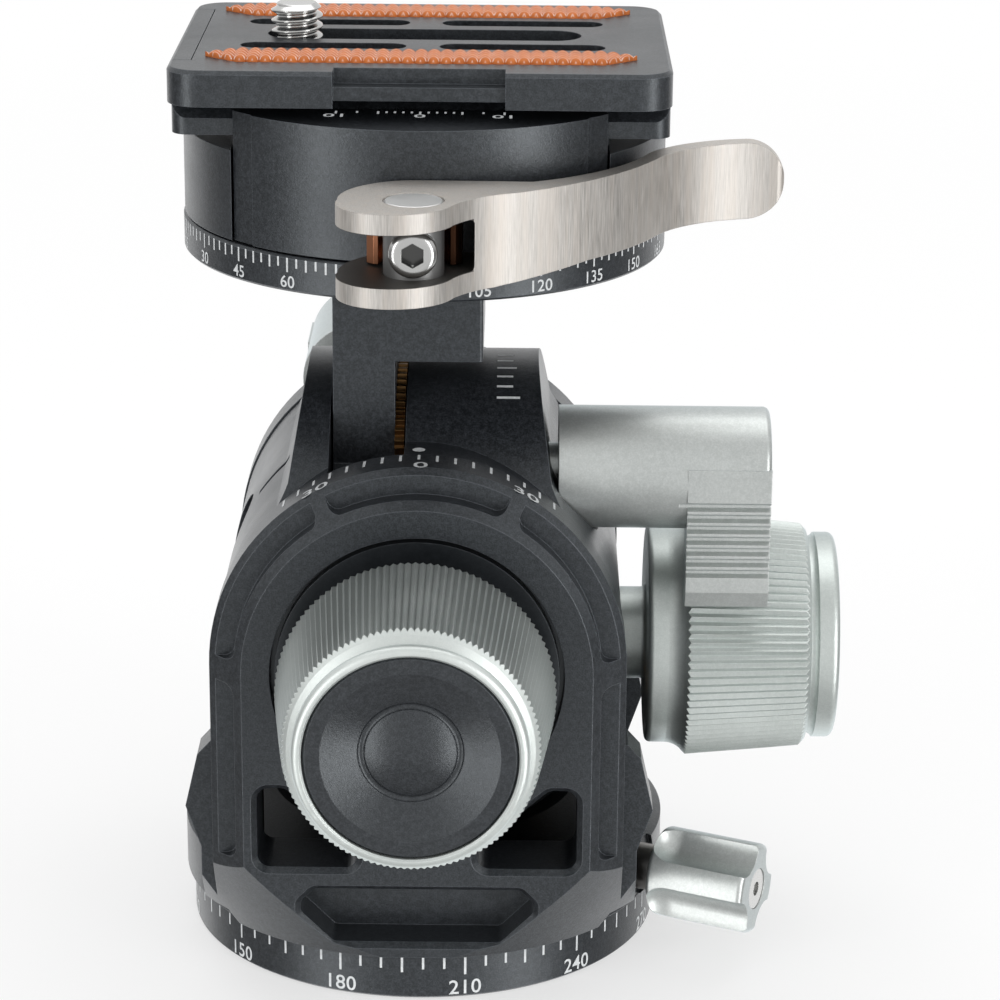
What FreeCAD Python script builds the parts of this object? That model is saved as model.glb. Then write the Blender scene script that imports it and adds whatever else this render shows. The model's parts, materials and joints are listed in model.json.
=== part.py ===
import FreeCAD, Part
import os
from math import asin, cos, hypot, pi, radians, sin, sqrt, tan

# Geared tripod head.  Millimetres, origin at the centre of the tripod thread's mouth,
# +Z up, +X towards the pitch knob, -Y towards the roll knob.

# ---- fits
seat_gap = 0.1            # flat faces of pieces that move on each other
run_gap = 0.06            # radial play of a shaft in its bore
press_gap = 0.02          # radial play of pieces that are fixed together
open_gap = 0.3            # play of rough or free edges
through = 60.0            # reach of cuts that run right through a piece

# ---- base and pan joint
base_radius = 30.5
base_height = 5.9
base_chamfer = 0.3
grip_groove_radius = 21.0
grip_groove_width = 3.0
grip_groove_depth = 0.6
thread_radius = 4.7625    # 3/8 inch tripod thread
thread_depth = 10.5
bush_radius = 7.5
bush_height = 12.0
bush_flange_radius = 8.8
bush_flange_height = 1.6
spindle_radius = 14.0
spindle_height = 8.0
spindle_screw_circle = 11.1
spindle_screw_radius = 1.1
spindle_screw_head = 1.9
spindle_screw_length = 9.0
spindle_screw_sink = 0.3       # of the head below the base's underside
spindle_screw_cone = 1.6
spindle_screw_socket_top = 1.2
retainer_screw_depth = 3.0
small_screw_radius = 1.0
small_screw_head = 1.9
small_screw_head_height = 1.1
small_socket_radius = 0.8
small_socket_depth = 0.6
retainer_radius = 16.0
retainer_height = 1.5
washer_radius = 28.0
washer_inner_radius = 15.5
washer_height = 0.3

# ---- yoke
yoke_floor_radius = 31.5
floor_rim_height = 7.2
floor_crown_height = 11.5
floor_crown_radius = 20.0
floor_edge = 0.4
undercut_radius = 32.1
envelope_radius = 45.0    # outside every corner of the yoke
undercut_slope = 0.516    # growth of the undercut's radius per mm of height
roll_axis_z = 43.9
arch_radius = 25.66
arch_front_y = -31.8
arch_thickness = 9.3
rear_arch_thickness = 7.5
arch_bevel = 4.2
rear_arch_bevel = 1.4
arch_bore_radius = 18.0
trough_relief = 0.14      # of the floor's trough outside the arch's round head
rear_bore_radius = 16.0
pocket_radius = 22.5
pocket_floor_depth = 3.4
pocket_corner = 1.4
top_pocket_half_angle = 27.0
side_pocket_start = 31.5
side_pocket_end = 86.5
side_pocket_bottom = 19.0
side_pocket_top = 42.2
window_corner = 1.6
window_bevel = 0.7
window_inner_x = 7.4
window_outer_x = 19.8
window_bottom = 18.3
window_top = 28.9
window_slope_x = 16.3
window_slope_z = 21.1
foot_pocket_half_width = 14.5
foot_pocket_bottom = 8.2
foot_pocket_top = 15.4
foot_pocket_corner = 1.0
foot_pocket_slant = 1.7
foot_pocket_corner_x = 10.4
foot_pocket_depth = 5.6
wing_depth = 5.3
wing_top = 31.5
wing_root_x = 20.0
wing_foot_rise = 2.0
wing_crown_slope = 0.9    # inward lean over the last facet's height
wing_facets = [(27.6, 17.0), (29.5, 22.6), (27.9, 29.6)]   # half width at each height
rear_cap_screw_circle = 12.0
rear_cap_dish_radius = 8.0
rear_cap_dish_depth = 0.8
rear_cap_edge = 0.5

# ---- pan lock
pan_lock_azimuth = -25.0
pan_lock_height = 10.8
pan_lock_screw_radius = 2.5
pan_lock_tip_length = 2.0
pan_lock_stub_radius = 3.0
pan_lock_stub_start = 23.0
pan_lock_knob_start = 34.4
pan_lock_knob_length = 13.2
pan_lock_lobe_radius = 5.8
pan_lock_groove_radius = 3.4
pan_lock_groove_offset = 7.1
pan_lock_skirt = 3.0
pan_lock_head_radius = 2.6
pan_lock_head_depth = 1.2
pan_lock_socket_radius = 0.9
pan_lock_socket_depth = 0.6
pan_lock_edge = 0.7
pan_lock_grip = 1.0           # of the stub's end inside the knob
pan_lock_tip_radius = 0.6
pan_lock_groove_turn = 65.0
pan_lock_boss_step = 1.6
pan_lock_boss_depth = 0.8
spindle_groove_depth = 0.9
spindle_groove_half_width = 1.6

# ---- roll body
roll_barrel_radius = 25.4
pitch_axis_z = 50.1
tower_radius = 25.5
tower_top_half_width = 14.4
tower_waist_half_width = 16.2
tower_waist_z = 65.0
tower_flare_half_width = 21.4
tower_sweep = 0.5             # hollow of the flank between barrel and waist
arm_slot_left = -11.3
arm_slot_right = -1.9
gear_cavity_right = 1.3
gear_cavity_radius = 19.9
spigot_length = 2.4
trunnion_radius = 13.0
trunnion_length = 3.9
pilot_radius = 2.0
pilot_length = 3.9
set_screw_mark_z = 60.6
set_screw_mark_length = 5.0
set_screw_mark_width = 1.4
set_screw_mark_y = -4.0
set_screw_mark_floor_x = -15.2

# ---- roll gear train (planetary)
gear_module = 0.5
sun_teeth = 12
planet_teeth = 24
roll_ring_teeth = 60
roll_gear_width = 2.5
planet_count = 3
planet_pin_radius = 1.5
front_bushing_thickness = 3.6
front_bushing_nose_radius = 17.35
front_bushing_nose_length = 1.6
bushing_recess = 0.4
planet_pin_step = 0.5         # of the shank's radius in the body
planet_pin_seat = 2.0
knob_hub_radius = 12.9

# ---- roll knob
roll_knob_front_y = -57.3
roll_knob_rear_y = -36.9
roll_knob_rear_radius = 17.05
roll_knob_front_radius = 15.1
roll_knob_nose = 2.5          # from the rim's front to the front of the grip
roll_shaft_front_y = -41.0
knob_shaft_radius = 2.5
knurl_depth = 0.42
knurl_bevel = 1.6             # height of the end bevels over the ridges' depth
roll_knurl_count = 120
roll_cove_depth = 0.5
lip_radius = 13.8
lip_length = 1.2
lip_round = 0.9
cap_radius = 12.45
cap_play = 0.1
cap_recess = 0.35
cap_edge = 0.25
roll_cap_depth = 3.0
cap_rim_width = 2.0
cap_dish_depth = 2.2
cap_valley_width = 0.9
cap_dome_radius = 5.3
cap_dome_height = 1.25
cap_valley_depth = 0.3

# ---- pitch knob
pitch_knob_drop = 12.0
pitch_knob_inner_x = 28.9
pitch_knob_outer_x = 53.3
pitch_knob_inner_radius = 15.9
pitch_knob_outer_radius = 14.5
pitch_knob_flange_radius = 14.3
pitch_flange_width = 2.6
pitch_lip_step = 1.1
pitch_flange_edge = 0.7
pitch_flange_sweep = 0.35
pitch_cove_depth = 0.5
pitch_cove_width = 1.1
pitch_knurl_start = 33.6
pitch_knurl_end = 49.6
pitch_knurl_count = 90
pitch_neck_radius = 6.0
pitch_neck_start = 19.4
pitch_bushing_radius = 8.0
pitch_bushing_length = 3.6
pitch_cap_radius = 11.2
pitch_cap_depth = 3.4
pitch_cap_dome_radius = 4.7
pinion_shaft_radius = 2.6
pinion_shaft_grip = 8.0

# ---- pitch arm
arm_left = -11.0
arm_right = -3.3
arm_hub_radius = 20.0
arm_front_y = -13.1
arm_rear_y = 10.0
arm_head_right = 7.6
arm_head_z = 78.5
arm_flange_radius = 13.0
arm_flange_height = 2.6
arm_flange_flare = 1.5
arm_edge_radius = 0.5
arm_screw_radius = 1.2
arm_screw_head = 2.1
arm_screw_head_height = 1.5
arm_screw_depth = 4.8
arm_screw_left_x = -7.0
arm_screw_right_x = 4.2
arm_screw_front_y = -8.5
arm_screw_rear_y = 6.0
axle_radius = 5.0
axle_plug_radius = 6.2
axle_plug_sink = 0.2
axle_plug_socket_radius = 2.4
axle_plug_socket_depth = 1.6
axle_bore_left = -20.3
axle_bore_right = 14.3
pitch_ring_teeth = 60
pinion_teeth = 12
ring_rim_radius = 19.4
sector_radius = 24.5
sector_tooth_pitch = 3.75
sector_tooth_height = 0.7
sector_front_angle = 41.0
sector_rear_angle = 35.0
sector_thickness = 1.2
wheel_gap = 0.4            # between the wheel's end faces and the body

# ---- release levers
lever_hub_radius = 7.7
lever_hub_length = 26.4
lever_tab_width = 10.4
lever_tab_drop = 16.2
lever_tab_thickness = 4.6
lever_rib_count = 7
lever_rib_pitch = 1.45
lever_rib_depth = 0.75
lever_rib_mouth = 0.42        # half width of a notch over the pitch, at the surface
lever_rib_floor = 0.126       # the same at the notch's floor
lever_first_rib = -2.8
lever_hub_round = 0.8
lever_tab_top = 2.0
lever_toe_height = 2.2
lever_toe_depth = 1.0
lever_heel = 0.8
lever_heel_top = -5.0
lever_shaft_radius = 3.0
lever_bore_end = 2.2
pitch_lever_x = 17.1
pitch_lever_y = -9.8
pitch_lever_z = 64.1
roll_lever_x = -9.8
roll_lever_z = 63.3
roll_lever_length = 21.4

# ---- top pan and quick-release clamp
top_ring_radius = 30.14
top_ring_bottom = 90.7
top_ring_height = 4.4
ring_floor_height = 2.0
ring_edge = 0.3
top_spindle_radius = 12.0
top_spindle_bore = 8.0
top_hub_depth = 5.0
top_retainer_radius = 14.0
top_retainer_height = 1.6
clamp_radius = 30.0
clamp_floor_height = 12.6
clamp_shoulder_height = 11.0
jaw_height = 15.8
jaw_half_width = 22.3
jaw_panel_half_width = 19.9
jaw_step = 0.35
jaw_split_y = -15.0
dovetail_mouth_step = 1.4
guide_pin_x = 14.0
guide_pin_radius = 1.5
guide_pin_height = 7.1
guide_pin_front_y = -23.0
guide_pin_rear_y = -9.0
jaw_travel = 1.2

# ---- clamp lever
cam_pivot_x = -0.15
cam_pivot_distance = 10.2     # from the drum's wall
cam_barrel_radius = 3.5
cam_barrel_edge = 0.25
cam_seat_depth = 0.9
cam_flat_gap = 0.4            # between the cam's flat and the drum's wall
cam_end_distance = 8.7
clamp_lever_drop = 0.8
clamp_lever_height = 10.9
ear_thickness = 2.4
ear_gap_right = 6.8
ear_gap_corner = 0.6
cam_flat_start = -1.0
cam_flat_end = 5.15
cam_quarter = (-0.658, 0.748)     # where the cam's corner arc passes, over its two half sizes
lever_belly = [(-7.4, -5.2), (-3.0, -7.3), (1.75, -6.0), (4.55, -2.2), (7.55, 1.6)]   # from the pivot
lever_outer_edge = [(8.0, 17.6), (5.2, 39.9), (3.5, 58.7), (5.3, 70.1)]   # gap and turn at the drum
lever_inner_edge = [(4.2, 74.7), (1.2, 62.1), (2.7, 41.3), (3.4, 23.8)]
arm_rise_x = 9.0
arm_rise_length = 11.0
arm_bottom_rise = 1.4
lever_thickness = 2.9
tip_x = 44.4
tip_y = -8.6
tip_round = 0.9
bolt_radius = 1.7
bolt_head_radius = 2.8
bolt_head_length = 1.7
bolt_head_round = 0.9
bolt_socket_radius = 1.45
bolt_socket_depth = 1.2
bolt_grip = 0.2               # of the shank's end behind the jaw's split
saddle_half_width = 5.5
saddle_cheek_distance = 2.6
saddle_hollow_gap = 0.9
saddle_edge = 0.8

# ---- camera plate
plate_half_length = 29.8
plate_front_y = -25.6
plate_rear_y = 19.4
plate_height = 9.0
plate_slab_height = 4.3
plate_corner = 4.0
plate_edge_bevel = 0.45
dovetail_half_width = 19.0
dovetail_lip = 2.0
dovetail_neck_inset = 2.6
dovetail_gap = 0.15
pattern_y = -1.6
slot_row_offset = 7.65
slot_half_width = 1.85
slot_inner_x = 2.0
slot_outer_x = 22.1
screw_slot_half_width = 3.4
screw_slot_half_length = 19.3
screw_channel_half_width = 5.6
screw_ledge_height = 3.5
pad_offset = 14.85
pad_half_width = 3.3
pad_half_length = 25.7
pad_recess = 0.8
pad_rise = 0.6
pad_point = 4.0
notch_half_width = 10.1
notch_wall_y = -22.7
notch_ledge_depth = 1.85
notch_ledge_y = -24.9
notch_under_depth = 3.5
end_stop_inner_x = -27.1
end_stop_front_y = -19.0
end_stop_rear_y = 14.0
end_stop_depth = 4.0
end_stop_play = 0.12
pad_play = 0.15

# ---- camera screw
camera_screw_x = -15.7
camera_screw_radius = 3.175   # 1/4 inch camera thread
camera_screw_rise = 3.9
camera_thread_length = 3.2
camera_screw_tip = 0.6
camera_neck_radius = 2.6      # plain neck that lets the screw slide in its slot
camera_head_radius = 5.3
camera_head_height = 3.4
camera_slot_width = 1.6
camera_slot_depth = 1.5
camera_retainer_height = 0.6

# ---- places that follow from the sizes above
yoke_bottom = base_height + washer_height + seat_gap
spindle_top = base_height + spindle_height
arch_rear_y = arch_front_y + arch_thickness
rear_face_y = rear_arch_thickness - arch_rear_y
trough_radius = arch_radius + trough_relief
roll_face_y = arch_rear_y + open_gap
spigot_front_y = roll_face_y - spigot_length
ring_gear_rear_y = spigot_front_y - open_gap
ring_gear_front_y = ring_gear_rear_y - roll_gear_width
planet_orbit = gear_module * (sun_teeth + planet_teeth) / 2
pinion_z = pitch_axis_z - pitch_knob_drop
top_ring_top = top_ring_bottom + top_ring_height
clamp_bottom_z = top_ring_top + open_gap
clamp_floor_z = clamp_bottom_z + clamp_floor_height
clamp_shoulder_z = clamp_bottom_z + clamp_shoulder_height
jaw_top_z = clamp_bottom_z + jaw_height
guide_pin_z = clamp_bottom_z + guide_pin_height
clamp_lever_bottom = clamp_bottom_z - clamp_lever_drop
clamp_lever_top = clamp_lever_bottom + clamp_lever_height
cam_pivot_y = -clamp_radius - cam_pivot_distance
cam_seat_y = cam_pivot_y - cam_barrel_radius + cam_seat_depth
ear_floor_z = clamp_lever_bottom + ear_thickness
ear_roof_z = clamp_lever_top - ear_thickness
cam_mid_z = (clamp_lever_bottom + clamp_lever_top) / 2
plate_bottom_z = clamp_floor_z + seat_gap
plate_top_z = plate_bottom_z + plate_height
plate_slab_z = plate_top_z - plate_slab_height
screw_channel_top = plate_top_z - screw_ledge_height
pad_floor_z = plate_top_z - pad_recess


def rod(axis, radius, start, end, u=0.0, v=0.0):
    """Cylinder along x, y or z from start to end; u and v place it in the other two axes."""
    low, high = min(start, end), max(start, end)
    spots = {"x": (low, u, v), "y": (u, low, v), "z": (u, v, low)}
    ways = {"x": (1, 0, 0), "y": (0, 1, 0), "z": (0, 0, 1)}
    return Part.makeCylinder(radius, high - low, FreeCAD.Vector(*spots[axis]),
                             FreeCAD.Vector(*ways[axis]))


def block(x0, x1, y0, y1, z0, z1):
    return Part.makeBox(x1 - x0, y1 - y0, z1 - z0, FreeCAD.Vector(x0, y0, z0))


def spot(axis, station, a, b):
    """Point at a station along an axis; a and b are the other two coordinates in order."""
    return {"x": FreeCAD.Vector(station, a, b),
            "y": FreeCAD.Vector(a, station, b),
            "z": FreeCAD.Vector(a, b, station)}[axis]


def rounded_wire(axis, station, corners, radius=0.0):
    """Closed wire through corners, with every corner rounded by the same radius."""
    points = [spot(axis, station, a, b) for a, b in corners]
    if radius <= 0:
        return Part.makePolygon(points + points[:1])
    edges = []
    ends = []
    count = len(points)
    for i, corner in enumerate(points):
        before = (points[i - 1] - corner).normalize()
        after = (points[(i + 1) % count] - corner).normalize()
        half = before.getAngle(after) / 2
        reach = radius / tan(half)
        middle = (before + after).normalize() * (radius / sin(half) - radius)
        start = corner + before * reach
        end = corner + after * reach
        edges.append(Part.Arc(start, corner + middle, end).toShape())
        ends.append((start, end))
    for i in range(count):
        start = ends[i][1]
        end = ends[(i + 1) % count][0]
        if start.distanceToPoint(end) > 1e-6:
            edges.append(Part.makeLine(start, end))
    return Part.Wire(Part.__sortEdges__(edges))


def along(axis, length):
    return {"x": FreeCAD.Vector(length, 0, 0),
            "y": FreeCAD.Vector(0, length, 0),
            "z": FreeCAD.Vector(0, 0, length)}[axis]


def prism(axis, start, end, corners, radius=0.0):
    """Straight prism over a (rounded) outline, from start to end along the axis."""
    return Part.Face(rounded_wire(axis, start, corners, radius)).extrude(along(axis, end - start))


def turned(axis, profile, u=0.0, v=0.0):
    """Solid of revolution of a closed (radius, station) outline about an axis at (u, v).
    A point of four numbers is reached by an arc through its first two."""
    edges = []
    before = FreeCAD.Vector(profile[-1][-2], 0, profile[-1][-1])
    for point in profile:
        after = FreeCAD.Vector(point[-2], 0, point[-1])
        if len(point) == 4:
            edges.append(Part.Arc(before, FreeCAD.Vector(point[0], 0, point[1]), after).toShape())
        else:
            edges.append(Part.makeLine(before, after))
        before = after
    face = Part.Face(Part.Wire(edges))
    solid = face.revolve(FreeCAD.Vector(0, 0, 0), FreeCAD.Vector(0, 0, 1), 360)
    if axis == "x":
        solid.rotate(FreeCAD.Vector(0, 0, 0), FreeCAD.Vector(0, 1, 0), 90)
    if axis == "y":
        solid.rotate(FreeCAD.Vector(0, 0, 0), FreeCAD.Vector(1, 0, 0), -90)
    solid.translate(spot(axis, 0.0, u, v))
    return solid


def fused(shapes):
    solid = shapes[0]
    for other in shapes[1:]:
        solid = solid.fuse(other)
    return solid.removeSplitter()


def arc_points(radius, start, end, steps):
    """Points on an arc about the origin, angles in degrees."""
    turns = [radians(start + (end - start) * i / steps) for i in range(steps + 1)]
    return [(radius * cos(t), radius * sin(t)) for t in turns]


def tooth_ring(teeth, root, tip, root_share, tip_share, turn=0.0):
    """Closed tooth outline: shares are the tooth's width over the pitch at root and tip."""
    outline = []
    pitch = 360.0 / teeth
    for k in range(teeth):
        middle = turn + k * pitch
        for radius, share in ((root, -root_share), (tip, -tip_share), (tip, tip_share), (root, root_share)):
            angle = radians(middle + share * pitch / 2)
            outline.append((radius * cos(angle), radius * sin(angle)))
    return outline


def outer_teeth(teeth, turn=0.0):
    pitch_radius = gear_module * teeth / 2
    return tooth_ring(teeth, pitch_radius - 1.15 * gear_module, pitch_radius + 0.85 * gear_module,
                      0.62, 0.24, turn)


def inner_teeth(teeth, turn=0.0):
    pitch_radius = gear_module * teeth / 2
    return tooth_ring(teeth, pitch_radius + 1.15 * gear_module, pitch_radius - 0.85 * gear_module,
                      0.58, 0.26, turn)


def shifted(outline, u, v):
    return [(a + u, b + v) for a, b in outline]


def sector(axis, start, end, inner, outer, first, last, u, v):
    """Part of a ring between two angles, measured from the axis' second cross direction."""
    def at(radius, angle):
        turn = radians(angle)
        return spot(axis, start, u + radius * sin(turn), v + radius * cos(turn))
    middle = (first + last) / 2
    edges = [Part.Arc(at(inner, first), at(inner, middle), at(inner, last)).toShape(),
             Part.makeLine(at(inner, last), at(outer, last)),
             Part.Arc(at(outer, last), at(outer, middle), at(outer, first)).toShape(),
             Part.makeLine(at(outer, first), at(inner, first))]
    return Part.Face(Part.Wire(edges)).extrude(along(axis, end - start))


def edges_along(shape, axis, test):
    """Straight edges that run along an axis and whose middle passes a test of (x, y, z)."""
    way = along(axis, 1)
    chosen = []
    for edge in shape.Edges:
        if not isinstance(edge.Curve, (Part.Line, Part.LineSegment)):
            continue
        run = (edge.Vertexes[1].Point - edge.Vertexes[0].Point).normalize()
        if abs(run.dot(way)) > 0.999 and test(edge.CenterOfMass):
            chosen.append(edge)
    return chosen


# ---------------------------------------------------------------- base

def base_ring():
    outline = [(bush_radius + press_gap, 0), (base_radius - base_chamfer, 0), (base_radius, base_chamfer),
               (base_radius, base_height - base_chamfer / 2), (base_radius - base_chamfer / 2, base_height),
               (bush_radius + press_gap, base_height)]
    ring = turned("z", outline)
    ring = ring.cut(rod("z", bush_flange_radius + press_gap, 0, bush_flange_height))
    holes = [screw_hole(x, y) for x, y in screw_circle(spindle_screw_circle, 4, 45)]
    inner, outer = grip_groove_radius - grip_groove_width / 2, grip_groove_radius + grip_groove_width / 2
    depth = grip_groove_depth
    grip_groove = turned("z", [(inner, 0), (outer, 0), (outer, depth), (inner, depth)])
    return ring.cut(holes + [grip_groove])


def screw_circle(radius, count, turn=0.0):
    angles = [radians(turn + 360.0 * k / count) for k in range(count)]
    return [(radius * cos(a), radius * sin(a)) for a in angles]


def screw_hole(x, y):
    shank = rod("z", spindle_screw_radius + press_gap, 0, base_height, x, y)
    head = Part.makeCone(spindle_screw_head + press_gap, spindle_screw_radius + press_gap,
                         spindle_screw_cone, FreeCAD.Vector(x, y, spindle_screw_sink))
    mouth = rod("z", spindle_screw_head + press_gap, 0, spindle_screw_sink, x, y)
    return shank.fuse(head).fuse(mouth)


def base_screws():
    """Countersunk screws that hold the spindle to the base ring."""
    low = spindle_screw_sink
    screws = []
    for x, y in screw_circle(spindle_screw_circle, 4, 45):
        head = Part.makeCone(spindle_screw_head, spindle_screw_radius, spindle_screw_cone,
                             FreeCAD.Vector(x, y, low))
        shank = rod("z", spindle_screw_radius, low + spindle_screw_cone / 2, spindle_screw_length, x, y)
        socket = prism("z", low, spindle_screw_socket_top,
                       shifted(arc_points(small_socket_radius, 0, 300, 5), x, y))
        screws.append(head.fuse(shank).removeSplitter().cut(socket))
    return Part.makeCompound(screws)


def tripod_bush():
    """Steel bush with the blind tripod thread, drawn as a plain bore of the thread's size."""
    body = rod("z", bush_radius, 0, bush_height).fuse(rod("z", bush_flange_radius, 0, bush_flange_height))
    return body.removeSplitter().cut(rod("z", thread_radius, 0, thread_depth))


def pan_spindle():
    """Hub that the yoke turns on, with a vee groove for the pan lock's tip."""
    groove = spindle_radius - spindle_groove_depth
    mouth = spindle_groove_half_width
    floor = mouth - spindle_groove_depth
    outline = [(bush_radius + press_gap, base_height), (spindle_radius, base_height),
               (spindle_radius, pan_lock_height - mouth), (groove, pan_lock_height - floor),
               (groove, pan_lock_height + floor), (spindle_radius, pan_lock_height + mouth),
               (spindle_radius, spindle_top), (bush_radius + press_gap, spindle_top)]
    hub = turned("z", outline)
    holes = [rod("z", spindle_screw_radius + press_gap, base_height, spindle_screw_length, x, y)
             for x, y in screw_circle(spindle_screw_circle, 4, 45)]
    tapped = [rod("z", small_screw_radius + press_gap, spindle_top - retainer_screw_depth, spindle_top,
                  x, y)
              for x, y in screw_circle(spindle_screw_circle, 4, 0)]
    return hub.cut(holes + tapped)


def pan_retainer():
    """Flat ring on top of the spindle that keeps the yoke down."""
    top = spindle_top + retainer_height
    ring = rod("z", retainer_radius, spindle_top, top).cut(rod("z", bush_radius, spindle_top, top))
    holes = [rod("z", small_screw_radius + press_gap, spindle_top, top, x, y)
             for x, y in screw_circle(spindle_screw_circle, 4, 0)]
    return ring.cut(holes)


def socket_screw(axis, tip, seat, u, v, shank_radius, head_radius, head_height):
    """Socket screw whose shank runs from its tip to the seat; the head lies beyond the seat."""
    way = 1 if seat > tip else -1
    top = seat + way * head_height
    head = rod(axis, head_radius, seat, top, u, v)
    shank = rod(axis, shank_radius, tip, seat, u, v)
    socket = prism(axis, top - way * small_socket_depth, top,
                   shifted(arc_points(small_socket_radius, 0, 300, 5), u, v))
    return head.fuse(shank).removeSplitter().cut(socket)


def retainer_screws():
    tip = spindle_top - retainer_screw_depth + seat_gap
    top = spindle_top + retainer_height
    return Part.makeCompound([socket_screw("z", tip, top, x, y, small_screw_radius,
                                           small_screw_head, small_screw_head_height)
                              for x, y in screw_circle(spindle_screw_circle, 4, 0)])


def thrust_washer():
    """Slippery washer between the base ring and the yoke."""
    return rod("z", washer_radius, base_height, base_height + washer_height).cut(
        rod("z", washer_inner_radius, base_height, base_height + washer_height))


# ---------------------------------------------------------------- yoke

def arch_plate(near_y, far_y, bevel):
    """Upright plate with a round head; the edge round its outer face is bevelled."""
    foot = yoke_bottom
    left, right = FreeCAD.Vector(-arch_radius, near_y, foot), FreeCAD.Vector(arch_radius, near_y, foot)
    left_top = FreeCAD.Vector(-arch_radius, near_y, roll_axis_z)
    right_top = FreeCAD.Vector(arch_radius, near_y, roll_axis_z)
    crown = FreeCAD.Vector(0, near_y, roll_axis_z + arch_radius)
    outline = Part.Wire([Part.makeLine(left, left_top), Part.Arc(left_top, crown, right_top).toShape(),
                         Part.makeLine(right_top, right), Part.makeLine(right, left)])
    plate = Part.Face(outline).extrude(FreeCAD.Vector(0, far_y - near_y, 0))
    rim = [e for e in plate.Edges
           if abs(e.BoundBox.YMin - near_y) < 1e-6 and abs(e.BoundBox.YMax - near_y) < 1e-6
           and e.BoundBox.ZMax > foot + 1]
    return plate.makeChamfer(bevel, rim)


def yoke_floor():
    rim = yoke_bottom + floor_rim_height
    crown = yoke_bottom + floor_crown_height
    return turned("z", [(0, yoke_bottom), (yoke_floor_radius - floor_edge, yoke_bottom),
                        (yoke_floor_radius, yoke_bottom + floor_edge), (yoke_floor_radius, rim),
                        (floor_crown_radius, crown), (0, crown)])


def wing(side, near_y, far_y):
    """Faceted cheek that braces an arch against the floor on one side."""
    foot = yoke_bottom + wing_foot_rise
    crown_x = wing_facets[-1][0] - (wing_top - wing_facets[-1][1]) * wing_crown_slope
    corners = [(wing_root_x, foot), (wing_facets[0][0], foot)] + wing_facets
    corners += [(crown_x, wing_top), (wing_root_x, wing_top)]
    outline = [(side * x, z) for x, z in corners]
    return prism("y", near_y, far_y, outline)


def bevel_pockets():
    """Flat-floored pockets that are milled into the front arch's bevel."""
    floor_y = arch_front_y + pocket_floor_depth
    outer = arch_radius + 3
    cutters = []
    for first, last in ((-top_pocket_half_angle, top_pocket_half_angle),
                        (side_pocket_start, side_pocket_end), (-side_pocket_end, -side_pocket_start)):
        cutter = sector("y", arch_front_y - 1, floor_y, pocket_radius, outer, first, last, 0, roll_axis_z)
        inner = edges_along(cutter, "y",
                            lambda p: hypot(p.x, p.z - roll_axis_z) < pocket_radius + 0.5)
        cutters.append(cutter.makeFillet(pocket_corner, inner))
    for side in (-1, 1):
        corners = [(side * pocket_radius, side_pocket_bottom), (side * outer, side_pocket_bottom),
                   (side * outer, side_pocket_top), (side * pocket_radius, side_pocket_top)]
        cutters.append(prism("y", arch_front_y - 1, floor_y, corners, pocket_corner))
    return cutters


def grown(corners, step):
    """Outline whose sides all lie a step further out than those of the given one."""
    area = sum(corners[i - 1][0] * b - corners[i - 1][1] * a for i, (a, b) in enumerate(corners))
    way = step if area > 0 else -step
    lines = []
    for i, (a, b) in enumerate(corners):
        a0, b0 = corners[i - 1]
        length = hypot(a - a0, b - b0)
        across = ((b - b0) / length, (a0 - a) / length)
        lines.append((across, across[0] * a + across[1] * b + way))
    outline = []
    for i, ((na, nb), d) in enumerate(lines):
        (ma, mb), e = lines[(i + 1) % len(lines)]
        det = na * mb - nb * ma
        outline.append(((d * mb - nb * e) / det, (na * e - d * ma) / det))
    return outline


def window_cutter(corners, depth, radius):
    """Opening with rounded corners and a bevelled rim in the front arch's face."""
    hole = prism("y", arch_front_y, arch_front_y + depth, corners, radius)
    wide = rounded_wire("y", arch_front_y, grown(corners, window_bevel), radius + window_bevel)
    narrow = rounded_wire("y", arch_front_y + window_bevel, corners, radius)
    return hole.fuse(Part.makeLoft([wide, narrow], True, True))


def arch_windows():
    side_window = [(window_inner_x, window_bottom), (window_outer_x, window_bottom),
                   (window_outer_x, window_top), (window_slope_x, window_top),
                   (window_inner_x, window_slope_z)]
    cutters = []
    for side in (-1, 1):
        cutters.append(window_cutter([(side * x, z) for x, z in side_window], arch_thickness,
                                     window_corner))
    half, low, high = foot_pocket_half_width, foot_pocket_bottom, foot_pocket_top
    shoulder = low + (half - foot_pocket_corner_x)
    right = [(foot_pocket_corner_x, low), (half, shoulder), (half, high - foot_pocket_slant),
             (half - foot_pocket_slant, high)]
    left = [(-x, z) for x, z in reversed(right)]
    cutters.append(window_cutter(right + left, foot_pocket_depth, foot_pocket_corner))
    return cutters


def lock_direction():
    turn = radians(pan_lock_azimuth)
    return FreeCAD.Vector(cos(turn), sin(turn), 0)


def lock_rod(radius, start, end):
    """Cylinder on the pan lock's axis between two distances from the head's own axis."""
    way = lock_direction()
    place = way * start + FreeCAD.Vector(0, 0, pan_lock_height)
    return Part.makeCylinder(radius, end - start, place, way)


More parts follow.
